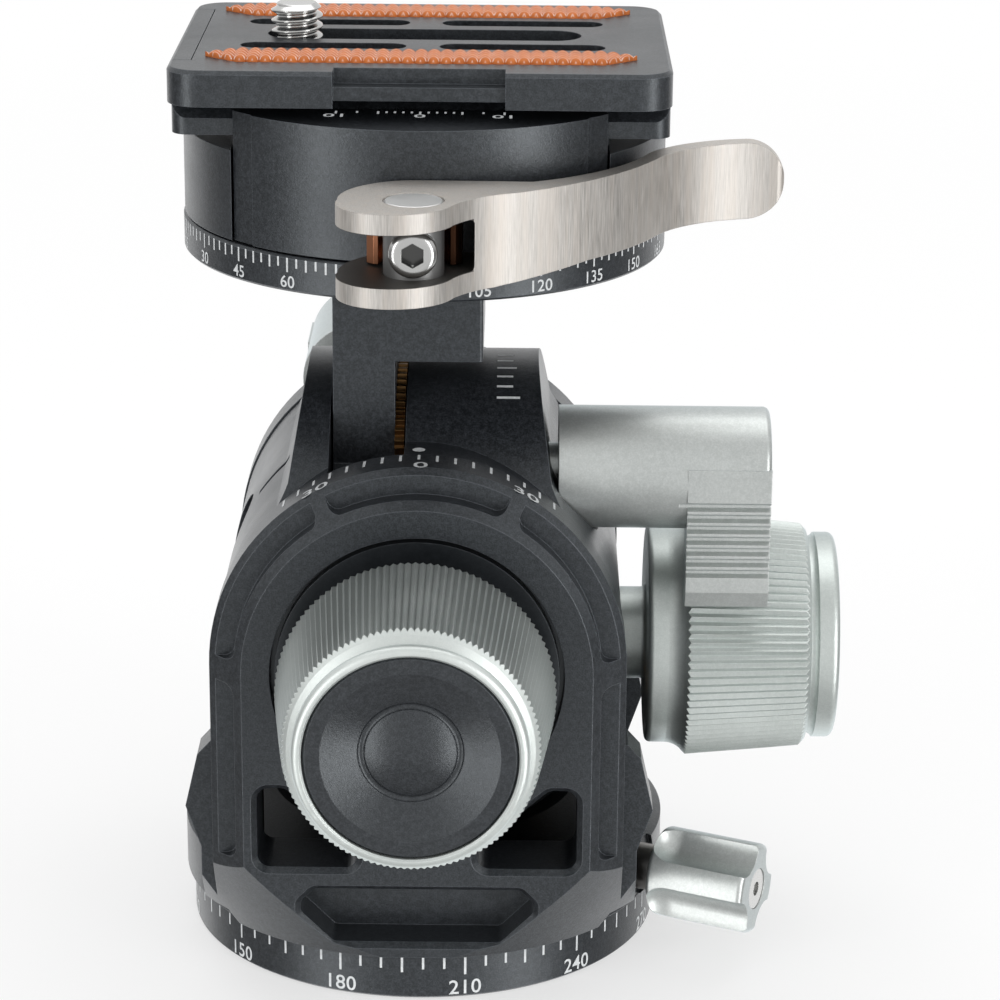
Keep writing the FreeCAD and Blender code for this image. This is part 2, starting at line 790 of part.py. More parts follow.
def yoke_frame():
    front = arch_plate(arch_front_y, arch_rear_y, arch_bevel)
    rear = arch_plate(rear_face_y, -arch_rear_y, rear_arch_bevel)
    wings = []
    for side in (-1, 1):
        wings.append(wing(side, arch_rear_y, arch_rear_y + wing_depth))
        wings.append(wing(side, -arch_rear_y - wing_depth, -arch_rear_y))
    frame = fused([yoke_floor(), front, rear] + wings)
    wide = envelope_radius
    limit = yoke_bottom + (wide - undercut_radius) / undercut_slope
    envelope = turned("z", [(0, yoke_bottom), (undercut_radius, yoke_bottom), (wide, limit),
                            (wide, roll_axis_z + wide), (0, roll_axis_z + wide)])
    frame = frame.common(envelope)
    shoulder = spindle_top - seat_gap
    cutters = [rod("y", trough_radius, arch_rear_y, -arch_rear_y, 0, roll_axis_z),
               rod("y", arch_bore_radius, arch_front_y, arch_rear_y, 0, roll_axis_z),
               rod("y", rear_bore_radius, -arch_rear_y, rear_face_y, 0, roll_axis_z),
               rod("z", spindle_radius + run_gap, yoke_bottom, shoulder),
               rod("z", retainer_radius + open_gap, shoulder, yoke_bottom + floor_crown_height),
               lock_rod(pan_lock_stub_radius + run_gap, spindle_radius - 1, yoke_floor_radius + 2),
               lock_rod(pan_lock_stub_radius + pan_lock_boss_step, yoke_floor_radius - pan_lock_boss_depth,
                        yoke_floor_radius + 2),
               rod("y", lever_shaft_radius + run_gap, -arch_rear_y, rear_face_y,
                   roll_lever_x, roll_lever_z)]
    return frame.cut(cutters + bevel_pockets() + arch_windows())


def front_bushing():
    """Stepped bearing of the roll knob's hub, with an open groove round its nose."""
    near = arch_front_y + bushing_recess
    far = near + front_bushing_thickness
    step = near + front_bushing_nose_length
    seat = arch_bore_radius - press_gap
    nose = front_bushing_nose_radius
    bore = knob_hub_radius + run_gap
    return turned("y", [(bore, near), (nose, near), (nose, step), (seat, step), (seat, far), (bore, far)],
                  0, roll_axis_z)


def roll_ring_gear():
    """Fixed internal gear of the roll drive, seated in the front arch."""
    blank = rod("y", arch_bore_radius - press_gap, ring_gear_front_y, ring_gear_rear_y, 0, roll_axis_z)
    teeth = prism("y", ring_gear_front_y, ring_gear_rear_y,
                  shifted(inner_teeth(roll_ring_teeth, 90), 0, roll_axis_z))
    return blank.cut(teeth)


def rear_bushing():
    near = -arch_rear_y
    far = near + trunnion_length
    return rod("y", rear_bore_radius - press_gap, near, far, 0, roll_axis_z).cut(
        rod("y", trunnion_radius + run_gap, near, far, 0, roll_axis_z))


def rear_cap():
    """Cover of the rear bearing, with its screw holes and a shallow dish."""
    near = -arch_rear_y + trunnion_length + open_gap
    far = rear_face_y - open_gap
    seat = far - small_screw_head_height - press_gap
    radius = rear_bore_radius - press_gap
    dish = rear_cap_dish_radius
    edge = rear_cap_edge
    outline = [(0, near), (radius, near), (radius, far - edge), (radius - edge, far), (dish + edge, far),
               (dish, far - rear_cap_dish_depth), (0, far - rear_cap_dish_depth)]
    cap = turned("y", outline, 0, roll_axis_z)
    spots = screw_circle(rear_cap_screw_circle, 4, 45)
    holes = [rod("y", small_screw_radius + press_gap, near, far, x, roll_axis_z + z) for x, z in spots]
    heads = [rod("y", small_screw_head + press_gap, seat, far, x, roll_axis_z + z) for x, z in spots]
    return cap.cut(holes + heads)


def rear_cap_screws():
    near = -arch_rear_y + trunnion_length + open_gap
    seat = rear_face_y - open_gap - small_screw_head_height - press_gap
    return Part.makeCompound([socket_screw("y", near, seat, x, roll_axis_z + z, small_screw_radius,
                                           small_screw_head, small_screw_head_height)
                              for x, z in screw_circle(rear_cap_screw_circle, 4, 45)])


# ---------------------------------------------------------------- pan lock

def pan_lock_screw():
    tip = spindle_radius - spindle_groove_depth + open_gap
    stub = lock_rod(pan_lock_stub_radius, pan_lock_stub_start, pan_lock_knob_start + pan_lock_grip)
    thread = lock_rod(pan_lock_screw_radius, tip + pan_lock_tip_length, pan_lock_stub_start)
    cone = Part.makeCone(pan_lock_tip_radius, pan_lock_screw_radius, pan_lock_tip_length,
                         lock_direction() * tip + FreeCAD.Vector(0, 0, pan_lock_height), lock_direction())
    return fused([stub, thread, cone])


def pan_lock_knob():
    """Four-lobed wing knob: a round skirt at its root, scalloped along the rest."""
    start = pan_lock_knob_start
    end = start + pan_lock_knob_length
    knob = lock_rod(pan_lock_lobe_radius, start, end)
    knob = knob.makeFillet(pan_lock_edge, [e for e in knob.Edges if isinstance(e.Curve, Part.Circle)])
    up = FreeCAD.Vector(0, 0, 1)
    side = lock_direction().cross(up)
    scallops = []
    for quarter in range(4):
        turn = radians(pan_lock_groove_turn + 90 * quarter)
        offset = (side * cos(turn) + up * sin(turn)) * pan_lock_groove_offset
        place = lock_direction() * (start + pan_lock_skirt) + up * pan_lock_height + offset
        groove = Part.makeCylinder(pan_lock_groove_radius, pan_lock_knob_length, place, lock_direction())
        run_out = Part.makeSphere(pan_lock_groove_radius, place)
        scallops.append(groove.fuse(run_out))
    bore = lock_rod(pan_lock_stub_radius + press_gap, start, start + pan_lock_grip)
    recess = lock_rod(pan_lock_head_radius + run_gap, end - pan_lock_head_depth, end)
    return knob.cut(scallops + [bore, recess])


def pan_lock_cap_screw():
    end = pan_lock_knob_start + pan_lock_knob_length
    top = end - seat_gap
    head = lock_rod(pan_lock_head_radius, end - pan_lock_head_depth, top)
    return head.cut(lock_rod(pan_lock_socket_radius, top - pan_lock_socket_depth, top))


# ---------------------------------------------------------------- roll body

def tower_outline():
    """Front outline of the tower: straight flanks that sweep out to the barrel."""
    flare_z = roll_axis_z + sqrt(roll_barrel_radius ** 2 - tower_flare_half_width ** 2)
    top = pitch_axis_z + tower_radius + 1
    lower = FreeCAD.Vector(tower_flare_half_width, 0, flare_z)
    waist = FreeCAD.Vector(tower_waist_half_width, 0, tower_waist_z)
    chord = waist - lower
    inward = FreeCAD.Vector(chord.z, 0, -chord.x).normalize() * -tower_sweep
    bend = (lower + waist) / 2 + inward
    return lower, bend, waist, FreeCAD.Vector(tower_top_half_width, 0, top)


def mirrored(point):
    return FreeCAD.Vector(-point.x, point.y, point.z)


def tower():
    lower, bend, waist, top = tower_outline()
    root = FreeCAD.Vector(tower_flare_half_width, 0, roll_axis_z)
    edges = [Part.makeLine(mirrored(root), mirrored(lower)),
             Part.Arc(mirrored(lower), mirrored(bend), mirrored(waist)).toShape(),
             Part.makeLine(mirrored(waist), mirrored(top)), Part.makeLine(mirrored(top), top),
             Part.makeLine(top, waist), Part.Arc(waist, bend, lower).toShape(),
             Part.makeLine(lower, root), Part.makeLine(root, mirrored(root))]
    depth = -2 * roll_face_y
    slab = Part.Face(Part.Wire(edges)).extrude(FreeCAD.Vector(0, depth, 0))
    slab.translate(FreeCAD.Vector(0, roll_face_y, 0))
    return slab.common(rod("x", tower_radius, -through, through, 0, pitch_axis_z))


def roll_body():
    barrel = rod("y", roll_barrel_radius, roll_face_y, -roll_face_y, 0, roll_axis_z)
    spigot = rod("y", arch_bore_radius - run_gap, spigot_front_y, roll_face_y, 0, roll_axis_z)
    trunnion = rod("y", trunnion_radius, -roll_face_y, -roll_face_y + trunnion_length, 0, roll_axis_z)
    body = fused([barrel, tower(), spigot, trunnion])
    slot = rod("x", arm_hub_radius + wheel_gap, arm_slot_left, arm_slot_right, 0, pitch_axis_z)
    throat = block(arm_slot_left, arm_slot_right, -through, through, pitch_axis_z, pitch_axis_z + through)
    cavity = rod("x", gear_cavity_radius, arm_slot_right, gear_cavity_right, 0, pitch_axis_z)
    axle_bore = rod("x", axle_radius + press_gap, axle_bore_left, axle_bore_right, 0, pitch_axis_z)
    plug_bore = rod("x", axle_plug_radius + press_gap, -through, axle_bore_left, 0, pitch_axis_z)
    pinion_bore = rod("x", pinion_shaft_radius + run_gap, gear_cavity_right, pitch_neck_start, 0, pinion_z)
    neck_bore = rod("x", pitch_bushing_radius + press_gap, pitch_neck_start - seat_gap, through,
                    0, pinion_z)
    lever_bore = rod("x", lever_shaft_radius + run_gap, lever_bore_end, through,
                     pitch_lever_y, pitch_lever_z)
    lever_seat = rod("x", lever_hub_radius + open_gap, pitch_lever_x - seat_gap, through,
                     pitch_lever_y, pitch_lever_z)
    pilot = rod("y", pilot_radius + run_gap, spigot_front_y, spigot_front_y + pilot_length + seat_gap,
                0, roll_axis_z)
    pins = [rod("y", planet_pin_radius - planet_pin_step, spigot_front_y, spigot_front_y + planet_pin_seat,
                x, roll_axis_z + z)
            for x, z in screw_circle(planet_orbit, planet_count, 90)]
    return body.cut([slot, throat, cavity, axle_bore, plug_bore, pinion_bore, neck_bore, lever_bore,
                     lever_seat, pilot, flank_mark()] + pins)


def flank_mark():
    """Narrow slot in the left flank, square to the sweep of the tower."""
    half, wide = set_screw_mark_length / 2, set_screw_mark_width / 2
    low, high = set_screw_mark_z - half, set_screw_mark_z + half
    corners = [(-through, low), (set_screw_mark_floor_x, low), (set_screw_mark_floor_x, high),
               (-through, high)]
    return prism("y", set_screw_mark_y - wide, set_screw_mark_y + wide, corners)


def planet_pins():
    """Steel pins that carry the planet gears on the roll body's spigot."""
    pins = []
    for x, z in screw_circle(planet_orbit, planet_count, 90):
        shank = rod("y", planet_pin_radius - planet_pin_step - press_gap, spigot_front_y,
                    spigot_front_y + planet_pin_seat - seat_gap, x, roll_axis_z + z)
        shaft = rod("y", planet_pin_radius, ring_gear_front_y, spigot_front_y, x, roll_axis_z + z)
        pins.append(shank.fuse(shaft).removeSplitter())
    return Part.makeCompound(pins)


def planet_gear(index):
    x, z = screw_circle(planet_orbit, planet_count, 90)[index]
    turn = 90 + 360.0 * index / planet_count + 180.0 / planet_teeth
    teeth = prism("y", ring_gear_front_y, ring_gear_rear_y,
                  shifted(outer_teeth(planet_teeth, turn), x, roll_axis_z + z))
    return teeth.cut(rod("y", planet_pin_radius + run_gap, ring_gear_front_y, ring_gear_rear_y,
                         x, roll_axis_z + z))


def pitch_axle():
    return rod("x", axle_radius, axle_bore_left + seat_gap, axle_bore_right - seat_gap, 0, pitch_axis_z)


def axle_plug():
    """Screwed plug that closes the axle's bore in the barrel's left side."""
    rise = pitch_axis_z - roll_axis_z + axle_plug_radius
    outer = -sqrt(roll_barrel_radius ** 2 - rise ** 2) + axle_plug_sink
    plug = rod("x", axle_plug_radius, outer, axle_bore_left, 0, pitch_axis_z)
    socket = prism("x", outer, outer + axle_plug_socket_depth,
                   shifted(arc_points(axle_plug_socket_radius, 0, 300, 5), 0, pitch_axis_z))
    return plug.cut(socket)


def pitch_bushing():
    low = pitch_neck_start + bushing_recess
    high = low + pitch_bushing_length
    return rod("x", pitch_bushing_radius, low, high, 0, pinion_z).cut(
        rod("x", pitch_neck_radius + run_gap, low, high, 0, pinion_z))


# ---------------------------------------------------------------- knobs

def knurled(axis, start, end, start_radius, end_radius, count, u, v):
    """Cone with straight vee ridges, trimmed by bevels at both ends."""
    def ridge_wire(station, radius):
        outline = []
        for k in range(count):
            for radius_now, step in ((radius, 0.0), (radius - knurl_depth, 0.5)):
                turn = 2 * pi * (k + step) / count
                outline.append((u + radius_now * cos(turn), v + radius_now * sin(turn)))
        return rounded_wire(axis, station, outline)
    ridges = Part.makeLoft([ridge_wire(start, start_radius), ridge_wire(end, end_radius)], True, True)
    bevel = knurl_depth * knurl_bevel
    way = 1 if end > start else -1
    start_rim, end_rim = start_radius + press_gap, end_radius + press_gap
    envelope = turned(axis, [(0, start), (start_radius - bevel, start), (start_rim, start + way * bevel),
                             (end_rim, end - way * bevel), (end_radius - bevel, end), (0, end)], u, v)
    return ridges.common(envelope)


def rounded_front(radius, front):
    """Outline points of a rim's rounded edge, from its front face to its side."""
    inset = (1 - sqrt(0.5)) * lip_round
    return [(radius - lip_round, front), (radius - inset, front + inset, radius, front + lip_round)]


def rounded_side(radius, end):
    """Outline points of a rim's rounded edge, from its side to its end face."""
    inset = (1 - sqrt(0.5)) * lip_round
    return [(radius, end - lip_round), (radius - inset, end - inset, radius - lip_round, end)]


def roll_knob():
    """Tapered grip with a bevelled nose, a groove and a rounded rim round the cap's seat."""
    front = roll_knob_front_y
    grip_front = front + roll_knob_nose
    grip = knurled("y", roll_knob_rear_y + seat_gap, grip_front, roll_knob_rear_radius,
                   roll_knob_front_radius, roll_knurl_count, 0, roll_axis_z)
    hub_end = ring_gear_front_y - open_gap
    groove_y = front + lip_length + roll_cove_depth
    face_radius = roll_knob_front_radius - knurl_depth * knurl_bevel
    seat = cap_radius + cap_play
    cap_floor = front + roll_cap_depth
    outline = [(0, hub_end), (0, cap_floor), (seat, cap_floor), (seat, front + cap_edge),
               (seat + cap_edge, front)]
    outline += rounded_front(lip_radius, front)
    outline += [(lip_radius, front + lip_length), (lip_radius - roll_cove_depth, groove_y),
                (face_radius, grip_front), (face_radius, grip_front + cap_edge),
                (knob_hub_radius, grip_front + cap_edge),
                (knob_hub_radius, hub_end)]
    core = turned("y", outline, 0, roll_axis_z)
    recess = rod("y", seat, front + cap_edge, cap_floor, 0, roll_axis_z)
    bore = rod("y", knob_shaft_radius + press_gap, hub_end, roll_shaft_front_y, 0, roll_axis_z)
    return fused([grip, core]).cut([recess, bore])


def dished_cap(axis, outer, inner, radius, dome_radius, u, v):
    """Dark cap with a flat rim, a hollow cone, a rounded valley and a domed middle."""
    way = 1 if inner > outer else -1
    valley = dome_radius + cap_valley_width
    floor = outer + way * cap_dish_depth
    bank = floor - way * cap_valley_depth
    sphere = (dome_radius ** 2 + cap_dome_height ** 2) / (2 * cap_dome_height)
    half_turn = asin(dome_radius / sphere) / 2
    crown = bank - way * cap_dome_height
    shoulder = (sphere * sin(half_turn), crown + way * sphere * (1 - cos(half_turn)))
    outline = [(0, inner), (radius, inner), (radius, outer + way * cap_edge), (radius - cap_edge, outer),
               (radius - cap_rim_width, outer), (valley, bank),
               ((dome_radius + valley) / 2, floor, dome_radius, bank), shoulder + (0, crown)]
    return turned(axis, outline, u, v)


def roll_knob_cap():
    return dished_cap("y", roll_knob_front_y + cap_recess, roll_knob_front_y + roll_cap_depth, cap_radius,
                      cap_dome_radius, 0, roll_axis_z)


def roll_sun_pinion():
    """Shaft of the roll knob with the sun gear's teeth and a pilot in the roll body."""
    turn = 90
    teeth = prism("y", ring_gear_front_y, ring_gear_rear_y,
                  shifted(outer_teeth(sun_teeth, turn), 0, roll_axis_z))
    shaft = rod("y", knob_shaft_radius, roll_shaft_front_y + seat_gap, ring_gear_front_y, 0, roll_axis_z)
    pilot = rod("y", pilot_radius, ring_gear_rear_y, spigot_front_y + pilot_length, 0, roll_axis_z)
    return fused([teeth, shaft, pilot])


def pitch_knob():
    """Knob on a neck: smooth flange, tapered grip, cove and rounded rim round the cap's seat."""
    grip = knurled("x", pitch_knurl_start, pitch_knurl_end, pitch_knob_inner_radius,
                   pitch_knob_outer_radius, pitch_knurl_count, 0, pinion_z)
    inner, outer = pitch_knob_inner_x, pitch_knob_outer_x
    flange = pitch_knob_flange_radius
    edge = pitch_flange_edge
    inset = (1 - sqrt(0.5)) * edge
    root = pitch_knob_inner_radius - knurl_depth - open_gap
    lip = pitch_knob_outer_radius - pitch_lip_step
    cove = lip - pitch_cove_depth
    seat = pitch_cap_radius + cap_play
    flange_end = inner + pitch_flange_width
    cove_middle = (flange_end + pitch_knurl_start) / 2 + open_gap
    rim_start = pitch_knurl_end + pitch_cove_width
    neck = pitch_neck_radius
    outline = [(0, pitch_neck_start), (neck, pitch_neck_start), (neck, inner - edge),
               (neck + inset, inner - inset, neck + edge, inner),
               (flange - edge, inner), (flange - inset, inner + inset, flange, inner + edge),
               (flange, flange_end), (flange + pitch_flange_sweep, cove_middle, root, pitch_knurl_start),
               (root, pitch_knurl_start + edge), (cove, pitch_knurl_end - edge), (cove, pitch_knurl_end),
               (cove + press_gap, (pitch_knurl_end + rim_start) / 2, lip, rim_start)]
    outline += rounded_side(lip, outer)
    outline += [(seat, outer), (seat, outer - pitch_cap_depth), (0, outer - pitch_cap_depth)]
    core = turned("x", outline, 0, pinion_z)
    bore = rod("x", pinion_shaft_radius + press_gap, pitch_neck_start, pitch_neck_start + pinion_shaft_grip,
               0, pinion_z)
    return fused([grip, core]).cut(bore)


def pitch_knob_cap():
    return dished_cap("x", pitch_knob_outer_x - cap_recess, pitch_knob_outer_x - pitch_cap_depth,
                      pitch_cap_radius, pitch_cap_dome_radius, 0, pinion_z)


def pitch_pinion():
    turn = -90 + 180.0 / pinion_teeth
    left = arm_slot_right + open_gap
    right = gear_cavity_right - wheel_gap
    teeth = prism("x", left, right, shifted(outer_teeth(pinion_teeth, turn), 0, pinion_z))
    shaft_end = pitch_neck_start + pinion_shaft_grip - seat_gap
    shaft = rod("x", pinion_shaft_radius, right, shaft_end, 0, pinion_z)
    return fused([teeth, shaft])


# ---------------------------------------------------------------- pitch arm

def pitch_arm():
    hub = rod("x", arm_hub_radius, arm_left, arm_right, 0, pitch_axis_z)
    neck = block(arm_left, arm_right, arm_front_y, arm_rear_y, pitch_axis_z, top_ring_bottom)
    head = block(arm_left, arm_head_right, arm_front_y, arm_rear_y, arm_head_z, top_ring_bottom)
    head = head.makeFillet(arm_edge_radius, edges_along(head, "z", lambda p: True))
    flange = Part.makeCone(arm_flange_radius - arm_flange_flare, arm_flange_radius, arm_flange_height,
                           FreeCAD.Vector(0, 0, top_ring_bottom - arm_flange_height))
    arm = fused([hub, neck, head, flange])
    bore = rod("x", axle_radius + run_gap, arm_left, arm_right, 0, pitch_axis_z)
    tapped = [rod("z", arm_screw_radius + press_gap, top_ring_bottom - arm_screw_depth - press_gap,
                  top_ring_bottom, x, y) for x, y in arm_screw_spots()]
    return arm.cut([bore] + tapped)


def arm_screw_spots():
    return [(x, y) for x in (arm_screw_left_x, arm_screw_right_x)
            for y in (arm_screw_front_y, arm_screw_rear_y)]


def arm_screws():
    """Socket screws that hold the top scale ring to the arm."""
    floor = top_ring_bottom + ring_floor_height
    return Part.makeCompound([socket_screw("z", top_ring_bottom - arm_screw_depth, floor, x, y,
                                           arm_screw_radius, arm_screw_head, arm_screw_head_height)
                              for x, y in arm_screw_spots()])


def pitch_gear():
    """Brass wheel on the arm: drive teeth inside, clutch teeth on a sector outside."""
    blank = rod("x", ring_rim_radius, arm_right, gear_cavity_right - wheel_gap, 0, pitch_axis_z)
    drive = prism("x", arm_right, gear_cavity_right - wheel_gap,
                  shifted(inner_teeth(pitch_ring_teeth, -90), 0, pitch_axis_z))
    far = arm_right + sector_thickness
    plate = sector("x", arm_right, far, ring_rim_radius - 1.5, sector_radius - sector_tooth_height,
                   -sector_front_angle, sector_rear_angle, 0, pitch_axis_z)
    count = int((sector_front_angle + sector_rear_angle) / sector_tooth_pitch)
    base = sector_radius - sector_tooth_height
    teeth = []
    for k in range(count):
        middle = -sector_front_angle + (k + 0.5) * sector_tooth_pitch
        points = [(base - 0.2, -0.30), (sector_radius, -0.12), (sector_radius, 0.12), (base - 0.2, 0.30)]
        outline = []
        for radius, share in points:
            turn = radians(middle + share * sector_tooth_pitch)
            outline.append((radius * sin(turn), pitch_axis_z + radius * cos(turn)))
        teeth.append(prism("x", arm_right, far, outline))
    return fused([blank.cut(drive), plate] + teeth)


def top_scale_ring():
    """Printed ring under the clamp, with a well for the heads of the arm's screws."""
    outline = [(0, top_ring_bottom), (top_ring_radius - ring_edge, top_ring_bottom),
               (top_ring_radius, top_ring_bottom + ring_edge), (top_ring_radius, top_ring_top - ring_edge),
               (top_ring_radius - ring_edge, top_ring_top), (0, top_ring_top)]
    ring = turned("z", outline)
    floor = top_ring_bottom + ring_floor_height
    well = rod("z", top_spindle_bore, floor, top_ring_top)
    holes = [rod("z", arm_screw_radius + press_gap, top_ring_bottom, floor, x, y)
             for x, y in arm_screw_spots()]
    heads = [rod("z", arm_screw_head + press_gap, floor, top_ring_top, x, y) for x, y in arm_screw_spots()]
    return ring.cut([well] + holes + heads)


def top_spindle():
    """Hub on the scale ring that the clamp turns on, with a retaining flange."""
    neck_top = clamp_bottom_z + top_hub_depth
    flange_top = neck_top + top_retainer_height
    outline = [(top_spindle_bore, top_ring_top), (top_spindle_radius, top_ring_top),
               (top_spindle_radius, neck_top), (top_retainer_radius, neck_top),
               (top_retainer_radius, flange_top), (top_spindle_bore, flange_top)]
    return turned("z", outline)


# ---------------------------------------------------------------- release levers

def release_lever(length, shaft_length):
    """Lever in its own frame: hub along +X from the origin, thumb tab on its -Y side."""
    hub = rod("x", lever_hub_radius, 0, length)
    outer = [e for e in hub.Edges if isinstance(e.Curve, Part.Circle) and e.BoundBox.XMin > length / 2]
    hub = hub.makeFillet(lever_hub_round, outer)
    front = -lever_hub_radius
    bottom = -lever_tab_drop
    back = front + lever_tab_thickness
    heel = lever_heel
    corners = [(front, lever_tab_top), (front, bottom + lever_toe_height),
               (front + lever_toe_depth, bottom), (back - heel, bottom), (back, bottom + 2 * heel),
               (back + 2 * heel, lever_heel_top), (back + 2 * heel, lever_tab_top)]
    tab = prism("x", length - lever_tab_width, length, corners)
    ribs = []
    for k in range(lever_rib_count):
        middle = lever_first_rib - k * lever_rib_pitch
        mouth = lever_rib_pitch * lever_rib_mouth
        floor = lever_rib_pitch * lever_rib_floor
        notch = [(front - seat_gap, middle - mouth), (front + lever_rib_depth, middle - floor),
                 (front + lever_rib_depth, middle + floor), (front - seat_gap, middle + mouth)]
        ribs.append(prism("x", length - lever_tab_width - 1, length + 1, notch))
    shaft = rod("x", lever_shaft_radius, -shaft_length, lever_hub_round)
    return fused([hub, tab, shaft]).cut(ribs)


def pitch_lever():
    lever = release_lever(lever_hub_length, pitch_lever_x - lever_bore_end - seat_gap)
    lever.translate(FreeCAD.Vector(pitch_lever_x, pitch_lever_y, pitch_lever_z))
    return lever


def roll_lever():
    shaft_length = rear_arch_thickness + seat_gap - open_gap
    lever = release_lever(roll_lever_length, shaft_length)
    lever = lever.mirror(FreeCAD.Vector(0, 0, 0), FreeCAD.Vector(0, 1, 0))
    lever.rotate(FreeCAD.Vector(0, 0, 0), FreeCAD.Vector(0, 0, 1), 90)
    lever.translate(FreeCAD.Vector(roll_lever_x, rear_face_y + seat_gap, roll_lever_z))
    return lever


# ---------------------------------------------------------------- clamp

def dovetail_outline(gap):
    """Cross-section of the plate's dovetail, grown by a gap at its sides and floor."""
    half = dovetail_half_width + gap
    lip = plate_bottom_z + dovetail_lip
    slope = plate_slab_z - lip
    neck = half - dovetail_neck_inset
    return [(-half, plate_bottom_z - gap), (half, plate_bottom_z - gap), (half, lip),
            (neck, lip + min(slope, dovetail_neck_inset)), (-neck, lip + min(slope, dovetail_neck_inset)),
            (-half, lip)]


def clamp_drum():
    """Round clamp blank with the dovetail channel cut across its top."""
    drum = rod("z", clamp_radius, clamp_bottom_z, jaw_top_z)
    channel = prism("x", -through, through, dovetail_outline(dovetail_gap))
    mouth_half = dovetail_half_width - dovetail_neck_inset + dovetail_mouth_step
    mouth = block(-through, through, -mouth_half, mouth_half, clamp_floor_z, jaw_top_z + 1)
    return drum.cut([channel, mouth])


def jaw_zone(grow):
    return block(-jaw_half_width - grow, jaw_half_width + grow, -through, jaw_split_y + grow,
                 clamp_bottom_z - 1, jaw_top_z + 1)


def clamp_body():
    """Fixed part of the clamp: hub bore below, shoulders beside the jaw, room for the plate."""
    drum = clamp_drum()
    ends = [block(-through, -jaw_half_width - open_gap, -through, through, clamp_shoulder_z, jaw_top_z + 1),
            block(jaw_half_width + open_gap, through, -through, through, clamp_shoulder_z, jaw_top_z + 1)]
    hub_top = clamp_bottom_z + top_hub_depth - seat_gap
    hub_bore = rod("z", top_spindle_radius + run_gap, clamp_bottom_z, hub_top)
    hub_room = rod("z", top_retainer_radius + open_gap, hub_top,
                   hub_top + top_retainer_height + 3 * open_gap)
    pins = [rod("y", guide_pin_radius + press_gap, jaw_split_y - 1, guide_pin_rear_y, side * guide_pin_x,
                guide_pin_z) for side in (-1, 1)]
    bolt = rod("y", bolt_radius + press_gap, jaw_split_y - 1, jaw_split_y + bolt_grip + press_gap,
               cam_pivot_x, cam_mid_z)
    return drum.cut([jaw_zone(open_gap), hub_room, hub_bore, bolt] + ends + pins)


def clamp_jaw():
    """Sliding front jaw with a raised round front and the dovetail's lip."""
    face = clamp_drum().common(jaw_zone(0))
    low, high = clamp_bottom_z - 2, jaw_top_z + 2
    step = rod("z", clamp_radius + 1, low, high).cut(rod("z", clamp_radius - jaw_step, low, high))
    middle = block(-jaw_panel_half_width, jaw_panel_half_width, -through, 0, low, high)
    face = face.cut(step.cut(middle))
    pins = [rod("y", guide_pin_radius + run_gap, guide_pin_front_y - jaw_travel - open_gap, jaw_split_y + 1,
                side * guide_pin_x, guide_pin_z) for side in (-1, 1)]
    bolt = rod("y", bolt_radius + open_gap, -through, jaw_split_y + 1, cam_pivot_x, cam_mid_z)
    return face.cut(pins + [bolt])


def guide_pins():
    return Part.makeCompound([rod("y", guide_pin_radius, guide_pin_front_y, guide_pin_rear_y,
                                  side * guide_pin_x, guide_pin_z) for side in (-1, 1)])


def cam_barrel():
    """Cross pin that the clamp lever turns on, drilled for the draw bolt."""
    pin = rod("z", cam_barrel_radius, clamp_lever_bottom, clamp_lever_top, cam_pivot_x, cam_pivot_y)
    rims = [e for e in pin.Edges if isinstance(e.Curve, Part.Circle)]
    pin = pin.makeChamfer(cam_barrel_edge, rims)
    bolt = rod("y", bolt_radius + press_gap, -through, 0, cam_pivot_x, cam_mid_z)
    seat = rod("y", bolt_head_radius + press_gap, -through, cam_seat_y, cam_pivot_x, cam_mid_z)
    return pin.cut([bolt, seat])


def draw_bolt():
    """Round-headed socket bolt through the barrel and the jaw into the clamp body."""
    head = rod("y", bolt_head_radius, cam_seat_y - bolt_head_length, cam_seat_y, cam_pivot_x, cam_mid_z)
    rim = [e for e in head.Edges
           if isinstance(e.Curve, Part.Circle) and e.BoundBox.YMax < cam_seat_y - bolt_head_length / 2]
    head = head.makeFillet(bolt_head_round, rim)
    shank = rod("y", bolt_radius, cam_seat_y, jaw_split_y + bolt_grip, cam_pivot_x, cam_mid_z)
    socket = prism("y", cam_seat_y - bolt_head_length, cam_seat_y - bolt_head_length + bolt_socket_depth,
                   shifted(arc_points(bolt_socket_radius, 30, 330, 5), cam_pivot_x, cam_mid_z))
    return fused([head, shank]).cut(socket)


def cam_saddle():
    """Copper bearing plate between the cam and the jaw, with two cheeks beside the barrel."""
    low, high = ear_floor_z + open_gap, ear_roof_z - open_gap
    back = -clamp_radius
    front = cam_pivot_y + saddle_cheek_distance
    x0, x1 = cam_pivot_x - saddle_half_width, cam_pivot_x + saddle_half_width
    edge = saddle_edge
    body = prism("z", low, high, [(x0, back), (x0, front + edge), (x0 + edge, front), (x1 - edge, front),
                                  (x1, front + edge), (x1, back)])
    hollow = rod("z", cam_barrel_radius + saddle_hollow_gap, low, high, cam_pivot_x,
                 cam_pivot_y + saddle_hollow_gap + open_gap)
    jaw_face = rod("z", clamp_radius + press_gap, low, high)
    bolt = rod("y", bolt_radius + open_gap, -through, 0, cam_pivot_x, cam_mid_z)
    return body.cut([hollow, jaw_face, bolt])


def beside_drum(gap, turn):
    """Point at a gap from the drum's wall, turned from its front towards +X."""
    reach = clamp_radius + gap
    return FreeCAD.Vector(reach * sin(radians(turn)), -reach * cos(radians(turn)), 0)


